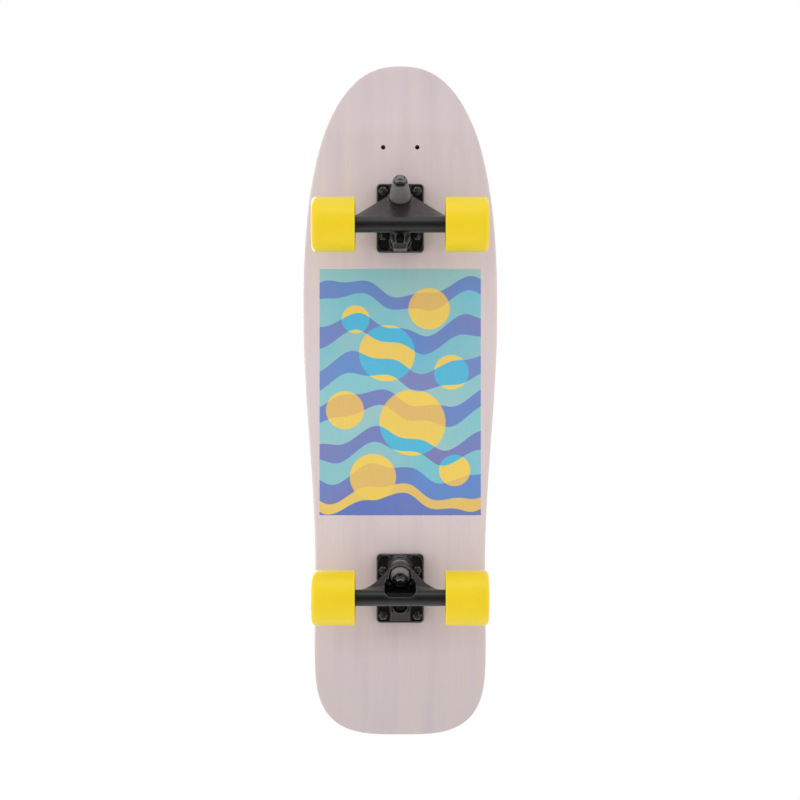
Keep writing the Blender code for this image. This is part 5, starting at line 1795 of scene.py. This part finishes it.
@dataclass(frozen=True)
class Hanger(TruckPart):
    """Cast hanger: tube and web as one skin, with the bushing ring and the pivot nose."""

    # lower side of the web in the middle plane, (u, w) from inboard to outboard
    web: tuple[tuple[float, float], ...]
    web_width: float  # half width over which the web is whole
    web_start: float  # from the middle to where the web leaves the tube
    web_flare: float  # how hollow the web's edge runs to the tube
    # (distance along the steering axis, radius) of the nose's root
    nose_root: tuple[tuple[float, float], ...]
    tube_radius: float = 9.75 * MM  # of the tube round the axle
    half_length: float = 65.4 * MM  # of the tube
    ring_lip: float = 1.1 * MM  # of the ring round each bushing
    ring_bore: float = 8.0 * MM  # of the ring
    pocket_root: tuple[float, float] = (-10.5 * MM, 26.0 * MM)  # (u, w) of the rear pocket's face at its root
    pocket_crest: float = -1.5 * MM  # its u at the tube's crest
    pocket_half: float = 13.5 * MM  # half of its width at that face
    spokes: int = 64  # points round the skin
    station: float = 2.0 * MM  # distance between the skin's sections
    voxel: float = 0.6 * MM  # grain of the cast skin
    passes: int = 4  # how often it is smoothed

    def web_point(self, turn: float) -> tuple[float, float]:
        """Finds a point on the web's lower side.

        Args:
            turn: 0 at the tube's inboard side and 1 at its outboard side.

        Returns:
            Its (u, w).
        """
        line = [(-self.tube_radius, FIT.axle_height), *self.web]
        place = turn * (len(line) - 1)
        index = min(int(place), len(line) - 2)
        share = place - index
        (u0, w0), (u1, w1) = line[index], line[index + 1]
        return u0 + share * (u1 - u0), w0 + share * (w1 - w0)

    def skin(self) -> BMesh:
        """Draws the tube out to the web, whose outboard face runs into the tube where it touches it."""
        tube = rod(self.tube_radius, -self.half_length, self.half_length, self.spokes)
        bm = placed(tube, self.truck.axle_line)
        count = round(2.0 * self.web_start / self.station)
        for index in range(count + 1):
            v = self.web_start * (2.0 * index / count - 1.0)
            sliced(bm, (0.0, v, 0.0), (0.0, 1.0, 0.0))
        span = self.web_start - self.web_width
        (u0, w0), (u1, w1) = self.web[-2:]
        touch = math.atan2(u0 - u1, w1 - w0)
        for vert in bm.verts:
            u, v, w = vert.co
            out = min(max((self.web_start - abs(v)) / span, 0.0), 1.0) ** self.web_flare
            angle = math.atan2(w - FIT.axle_height, u)
            if w < FIT.axle_height - 1e-6 and out > 0.0:
                web_u, web_w = self.web_point(1.0 + angle / math.pi)
                vert.co = (u + out * (web_u - u), v, w + out * (web_w - w))
            elif angle < touch:
                face_u = u1 + (w - w1) * (u0 - u1) / (w0 - w1)
                vert.co.x = u + out * (face_u - u)
        bmesh.ops.triangulate(bm, faces=bm.faces)
        return bm

    def nose(self) -> BMesh:
        """Turns the stub that turns in the pivot cup."""
        reach = self.truck.cup_from_ring + FIT.cup_depth - 2.0 * FIT.gap - 1.6 * MM
        profile = [(0.0, self.nose_root[0][0])] + [(radius, at) for at, radius in self.nose_root]
        profile += [(FIT.nose, reach - 0.5 * FIT.nose), (0.5 * FIT.nose, reach), (0.0, reach)]
        return placed(spun(profile, 48, ring=False), self.truck.steering)

    @property
    def pocket_slope(self) -> float:
        """How far the rear pocket's face leans outboard on its way to the road."""
        root, height = self.pocket_root
        return (self.pocket_crest - root) / (FIT.axle_height + self.tube_radius - height)

    def pocket(self) -> BMesh:
        """Makes the tool that opens the rear hanger over its bushings."""
        root, height = self.pocket_root
        low, high = 8.0 * MM, FIT.axle_height + 2.0 * self.tube_radius
        start = root + self.pocket_slope * (low - height)
        ring = self.truck.ring[0] - root
        arc = 13.6 * MM
        turns = 24
        side = [(0.0, self.pocket_half), (-5.0 * MM, 18.6 * MM), (-14.0 * MM, 17.0 * MM), (ring, arc)]
        outline = list(side)
        for index in range(1, turns):
            angle = math.pi * index / turns
            outline.append((ring - arc * math.sin(angle), arc * math.cos(angle)))
        outline += mirrored(side)
        by = (self.pocket_slope * (high - low), 0.0, high - low)
        return swept([(start + u, v, low) for u, v in outline], by)

    def mark_pocket(self, casting: BMesh) -> None:
        """Marks what lies in the pocket, down from the tube's crest, and the pivot nose for painted shade.

        Args:
            casting: The casting, in the truck's frame.
        """
        layer = casting.verts.layers.float.new("shade_mask")
        root, height = self.pocket_root
        for vert in casting.verts:
            u, v, w = vert.co
            depth = root + self.pocket_slope * (w - height) - u
            half = self.pocket_half + min(max(depth, 0.0), 5.0 * MM)
            inside = min(depth, half - abs(v), 11.0 * MM - depth)
            # the pivot nose past the tube gets painted shade too
            painted_shade = min(u - 10.2 * MM, 8.0 * MM - abs(v))
            vert[layer] = min(max(1.0 + max(inside, painted_shade) / self.voxel, 0.0), 1.0)

    def build(self) -> None:
        """Builds the casting, the rear one with its pocket and a sleeve round the axle in it."""
        truck = self.truck
        rear = truck.end is End.TAIL
        steps = [(Joining.CUT, self.pocket())] if rear else []
        lip = truck.ring_half + self.ring_lip
        ring = placed(rod(truck.ring_radius, -lip, lip, 72), truck.kingpin)
        steps += [(Joining.ADD, ring), (Joining.ADD, self.nose())]
        cuts = [
            rod(self.ring_bore, -20.0 * MM, 20.0 * MM),
            rod(truck.roadside.base + FIT.socket, truck.ring_half, truck.nut_start + 12.0 * MM, 72),
            rod(FIT.cup_washer + FIT.socket, -truck.seat, -truck.ring_half, 72),
        ]
        steps += [(Joining.CUT, placed(tool, truck.kingpin)) for tool in cuts]
        bore = FIT.axle + FIT.gap
        if rear:
            wall = rod(bore + 1.6 * MM, -22.0 * MM, 22.0 * MM)
            steps.append((Joining.ADD, placed(wall, truck.axle_line)))
        reach = self.half_length + 5.0 * MM
        steps.append((Joining.CUT, placed(rod(bore, -reach, reach), truck.axle_line)))
        casting = cast(worked(self.skin(), steps), self.voxel, self.passes)
        # the rear pocket and the pivot nose get painted shade
        if rear:
            self.mark_pocket(casting)
        body = f"{truck.name}_hanger_group"
        self.add("hanger_casting", casting, truck.world, CAST_BLACK, "hanger", body, 80.0)


FRONT_HANGER = Hanger(
    FRONT,
    web=(
        (-9.0 * MM, 60.0 * MM), (-8.6 * MM, 55.0 * MM), (-4.0 * MM, 48.0 * MM), (11.5 * MM, 33.0 * MM),
        (32.0 * MM, 13.0 * MM), (38.0 * MM, 19.5 * MM), (22.9 * MM, 45.0 * MM), (11.4 * MM, 64.4 * MM),
    ),
    web_width=15.0 * MM,
    web_start=60.5 * MM,
    web_flare=1.0,
    nose_root=((14.0 * MM, 8.5 * MM), (46.0 * MM, 8.5 * MM), (53.0 * MM, 6.0 * MM), (55.0 * MM, 4.9 * MM)),
)

REAR_HANGER = Hanger(
    REAR,
    web=(
        (-16.0 * MM, 52.0 * MM), (-33.0 * MM, 33.5 * MM), (-30.0 * MM, 24.0 * MM), (-13.0 * MM, 17.0 * MM),
        (2.0 * MM, 11.5 * MM), (6.5 * MM, 22.0 * MM), (8.6 * MM, 46.0 * MM), (9.75 * MM, 64.4 * MM),
    ),
    web_width=13.0 * MM,
    web_start=61.0 * MM,
    web_flare=2.2,
    nose_root=((12.0 * MM, 8.0 * MM), (26.0 * MM, 7.0 * MM), (33.0 * MM, 4.9 * MM)),
)


# Axles and wheels


@dataclass(frozen=True)
class AxleSet(TruckPart):
    """Axle with its spacers, speed washers and lock nuts."""

    nut_width: float = 12.7 * MM  # across a nut's flats
    nut_height: float = 6.5 * MM  # of a nut
    proud: float = 1.0 * MM  # how far the axle stands out of it
    thread_length: float = 11.0 * MM  # from the axle's tip
    thread_pitch: float = 1.06 * MM  # of its thread
    spacer_radius: float = 5.2 * MM  # of a spacer
    washer_radius: float = 6.3 * MM  # of a speed washer
    washer_thickness: float = 0.6 * MM  # of a speed washer

    @property
    def nut_start(self) -> float:
        """From the middle to a nut."""
        return FIT.wheel_centre + FIT.spacer / 2.0 + FIT.bearing_width + FIT.washer_room

    def bar(self) -> BMesh:
        """Turns the axle."""
        end = self.nut_start + self.nut_height + self.proud
        thread = threaded(FIT.axle, end - self.thread_length, end - 0.8 * MM, self.thread_pitch, 0.5 * MM)
        upper = [(FIT.axle, 0.0), *thread, (FIT.axle - 0.8 * MM, end), (0.0, end)]
        return spun(mirrored(upper[1:]) + upper, 40, ring=False)

    def build(self) -> None:
        """Builds the axle and what it carries besides the wheels."""
        truck = self.truck
        body = f"{truck.name}_hanger_group"
        self.add("axle_bar", self.bar(), truck.beside(1.0, 0.0), ZINC, "axle", body)
        bore = FIT.axle + FIT.gap
        start = FIT.wheel_centre - FIT.spacer / 2.0
        slack = (FIT.washer_room - self.washer_thickness) / 2.0
        washers = (
            ("inner", start - FIT.bearing_width - FIT.washer_room + slack),
            ("outer", self.nut_start - FIT.washer_room + slack),
        )
        for hand, side in (("left", 1.0), ("right", -1.0)):
            tube = softened(sleeve(bore, self.spacer_radius, FIT.gap, FIT.spacer - FIT.gap), 0.25 * MM)
            self.add(f"{hand}_bearing_spacer", tube, truck.beside(side, start), ZINC, f"{hand}_spacer", body)
            nut, ring = lock_nut(self.nut_width, self.nut_height, bore)
            place = truck.beside(side, self.nut_start)
            self.add(f"{hand}_axle_lock_nut", nut, place, ZINC, f"{hand}_axle_nut", body)
            self.add(f"{hand}_axle_nut_nylon", ring, place, NYLON, None, body)
            for where, at in washers:
                washer = softened(sleeve(bore, self.washer_radius, 0.0, self.washer_thickness), 0.12 * MM)
                self.add(f"{hand}_{where}_speed_washer", washer, truck.beside(side, at), ZINC, None, body)


@dataclass(frozen=True)
class Wheel(TruckPart):
    """One wheel with its bearings."""

    side: float  # 1 on the rider's left, -1 on the right
    radius: float = 32.5 * MM  # of the tread
    width: float = 51.0 * MM  # of the wheel
    outer_lip: float = 5.5 * MM  # radius of the outer edge
    inner_lip: float = 1.6 * MM  # radius of the inner edge
    face_radius: float = 22.0 * MM  # where the hollow of a face starts
    recess_radius: float = 14.0 * MM  # where it ends
    web_bore: float = 9.2 * MM  # between the bearings
    bearing_radius: float = 11.0 * MM  # of a bearing
    outer_race: float = 9.4 * MM  # bore of a bearing's outer race
    inner_race: float = 5.6 * MM  # radius of its inner race
    steps: int = 112  # facets round the wheel

    def tyre(self) -> BMesh:
        """Turns the urethane, then rounds its edges."""
        half = self.width / 2.0
        seat = self.bearing_radius + FIT.gap
        stop = FIT.spacer / 2.0 - FIT.gap
        recess = FIT.spacer / 2.0 + FIT.bearing_width
        side = [
            (self.face_radius, half), (self.recess_radius, recess), (seat, recess), (seat, stop),
            (self.web_bore, stop),
        ]
        bm = spun([(self.radius, -half), (self.radius, half), *side, *mirrored(side)], self.steps)

        def rim(at: float, z: float) -> list[BMEdge]:
            """Lists the edges of one ring of the profile."""
            return [
                e for e in bm.edges
                if all(abs(v.co.z - z) < 1e-6 and abs(v.co.xy.length - at) < 1e-6 for v in e.verts)
            ]

        rounded(bm, rim(self.radius, half), self.outer_lip, 10)
        rounded(bm, rim(self.radius, -half), self.inner_lip, 5)
        for z in (half, -half):
            rounded(bm, rim(self.face_radius, z), 1.6 * MM, 4)
        for z in (recess, -recess):
            rounded(bm, rim(self.recess_radius, z), 0.8 * MM, 3)
        return bm

    def races(self) -> BMesh:
        """Turns the two races of a bearing."""
        half = FIT.bearing_width / 2.0
        outer = sleeve(self.outer_race, self.bearing_radius, -half, half, 64)
        inner = sleeve(FIT.axle + FIT.gap, self.inner_race, -half, half, 64)
        softened(outer, 0.35 * MM, 3)
        softened(inner, 0.25 * MM, 3)
        mesh = bpy.data.meshes.new("race")
        inner.to_mesh(mesh)
        inner.free()
        outer.from_mesh(mesh)
        bpy.data.meshes.remove(mesh)
        return outer

    def seals(self) -> BMesh:
        """Turns the seals of a bearing, each with a moulded groove."""
        half = FIT.bearing_width / 2.0
        face = half - 0.45 * MM
        groove = face - 0.25 * MM
        side = [
            (self.outer_race - 0.1 * MM, face), (8.7 * MM, face), (8.5 * MM, groove), (6.6 * MM, groove),
            (6.3 * MM, face), (self.inner_race + 0.1 * MM, face),
        ]
        return spun(side + mirrored(side), 64)

    def build(self) -> None:
        """Builds the wheel and its bearings."""
        hand = "left" if self.side > 0.0 else "right"
        body = f"{self.truck.name}_{hand}_wheel_group"
        middle = self.truck.beside(self.side, FIT.wheel_centre)
        self.add(f"{hand}_urethane_wheel", self.tyre(), middle, YELLOW_URETHANE, f"{hand}_wheel", body, 50.0)
        centre = (FIT.spacer + FIT.bearing_width) / 2.0
        for where, at in (("inner", -centre), ("outer", centre)):
            place = middle @ raised(at)
            label = f"{hand}_{where}_bearing"
            self.add(f"{label}_races", self.races(), place, GROUND_STEEL, label, body)
            self.add(f"{label}_seals", self.seals(), place, SEAL, None, body)


# Studio


@dataclass(frozen=True)
class Lamp:
    """A soft box."""

    name: str  # its name
    at: tuple[float, float, float]  # where it stands
    size: tuple[float, float]  # its width and height
    power: float  # in watts

    def build(self) -> None:
        """Hangs the lamp, turned to the board."""
        data = bpy.data.lights.new(self.name, "AREA")
        data.shape = "RECTANGLE"
        data.size, data.size_y = self.size
        data.energy = self.power
        lamp = bpy.data.objects.new(self.name, data)
        lamp.location = self.at
        lamp.rotation_euler = (Vector((0.0, 0.0, 0.08)) - Vector(self.at)).to_track_quat("-Z", "Y").to_euler()
        lamp.visible_camera = False
        bpy.context.scene.collection.objects.link(lamp)


@dataclass(frozen=True)
class Studio:
    """Floor, daylight, lamps and camera."""

    camera_place: tuple[float, float, float] = (0.0020, -0.00024, -2.4995)  # the camera, under the board
    lens: float = 96.57  # its lens in millimetres
    sensor: float = 36.0  # its sensor's width in millimetres
    floor_half: float = 4.0  # half of the floor's side
    ambient: float = 0.96  # strength of the even light
    nadir: float = 0.05  # strength of the room behind the camera, as seen in gloss
    # the soft boxes
    lamps: tuple[Lamp, ...] = (
        Lamp("nose_box", (2.3, 0.0, -1.2), (2.4, 1.2), 5.0),
        Lamp("left_box", (0.0, 2.3, -1.0), (2.0, 1.0), 2.0),
        Lamp("right_box", (0.0, -2.3, -1.0), (2.0, 1.0), 8.0),
        Lamp("top_box", (0.6, -0.8, 2.6), (2.0, 2.0), 55.0),
    )

    def build_camera(self) -> None:
        """Sets the camera under the board, looking up, with the nose at the top of the picture."""
        data = bpy.data.cameras.new("camera")
        data.lens = self.lens
        data.sensor_width = self.sensor
        data.clip_end = 50.0
        camera = bpy.data.objects.new("camera", data)
        turn = Matrix.Identity(4)
        turn.col[0] = (0.0, 1.0, 0.0, 0.0)
        turn.col[1] = (1.0, 0.0, 0.0, 0.0)
        turn.col[2] = (0.0, 0.0, -1.0, 0.0)
        camera.matrix_world = Matrix.Translation(self.camera_place) @ turn
        bpy.context.scene.collection.objects.link(camera)
        bpy.context.scene.camera = camera

    def build_world(self) -> None:
        """Makes the daylight: white where it is seen, even and weaker where it lights."""
        world = bpy.data.worlds.new("studio")
        bpy.context.scene.world = world
        world.use_nodes = True
        tree = world.node_tree
        tree.nodes.clear()
        rays = add_node(tree, "LightPath")
        way = add_node(tree, "TexCoord").outputs["Generated"]
        up = add_node(tree, "SeparateXYZ", {"Vector": way}).outputs["Z"]
        room = add_node(
            tree, "MapRange",
            {"Value": up, "From Min": -0.985, "From Max": -0.55, "To Min": self.nadir, "To Max": 1.0},
        )
        glossy, clear = rays.outputs["Is Glossy Ray"], rays.outputs["Is Transmission Ray"]
        mirrored = add_node(tree, "Math", {0: glossy, 1: clear}, operation="MAXIMUM")
        gloss = add_node(tree, "Mix", {0: mirrored, 2: self.ambient, 3: room})
        strength = add_node(tree, "Mix", {0: rays.outputs["Is Camera Ray"], 2: gloss, 3: 1.0})
        light = add_node(tree, "Background", {"Color": (1.0, 1.0, 1.0, 1.0), "Strength": strength})
        add_node(tree, "OutputWorld", {"Surface": light})

    def build_floor(self) -> None:
        """Lays the floor, which only the eye above it meets: it shows the shadow and colours nothing."""
        bm = bmesh.new()
        bmesh.ops.create_grid(bm, x_segments=1, y_segments=1, size=self.floor_half)
        floor = added("studio_floor", bm)
        material = bpy.data.materials.new("pale_floor")
        material.use_nodes = True
        tree = material.node_tree
        tree.nodes.clear()
        rays = add_node(tree, "LightPath")
        back = add_node(tree, "NewGeometry").outputs["Backfacing"]
        seen = rays.outputs["Is Camera Ray"]
        light = add_node(tree, "Math", {0: 1.0, 1: seen}, operation="SUBTRACT")
        clear = add_node(tree, "Math", {0: light, 1: back}, operation="MAXIMUM")
        paint = add_node(tree, "BsdfDiffuse", {"Color": linear("EDEDEE")})
        glass = add_node(tree, "BsdfTransparent")
        mixed = add_node(tree, "MixShader", {0: clear, 1: paint, 2: glass})
        add_node(tree, "OutputMaterial", {"Surface": mixed})
        floor.data.materials.append(material)

    def build(self) -> None:
        """Builds the studio."""
        self.build_camera()
        self.build_world()
        self.build_floor()
        for lamp in self.lamps:
            lamp.build()
        bpy.context.scene.view_settings.view_transform = "Standard"


def main() -> None:
    """Builds the studio and the board."""
    logging.basicConfig(level=logging.INFO, format="%(name)s %(message)s")
    Studio().build()
    Board().build()
    for truck, hanger in ((FRONT, FRONT_HANGER), (REAR, REAR_HANGER)):
        Baseplate(truck).build()
        DeckFasteners(truck).build()
        KingpinStack(truck).build()
        hanger.build()
        AxleSet(truck).build()
        for side in (1.0, -1.0):
            Wheel(truck, side).build()


if __name__ == "__main__":
    main()
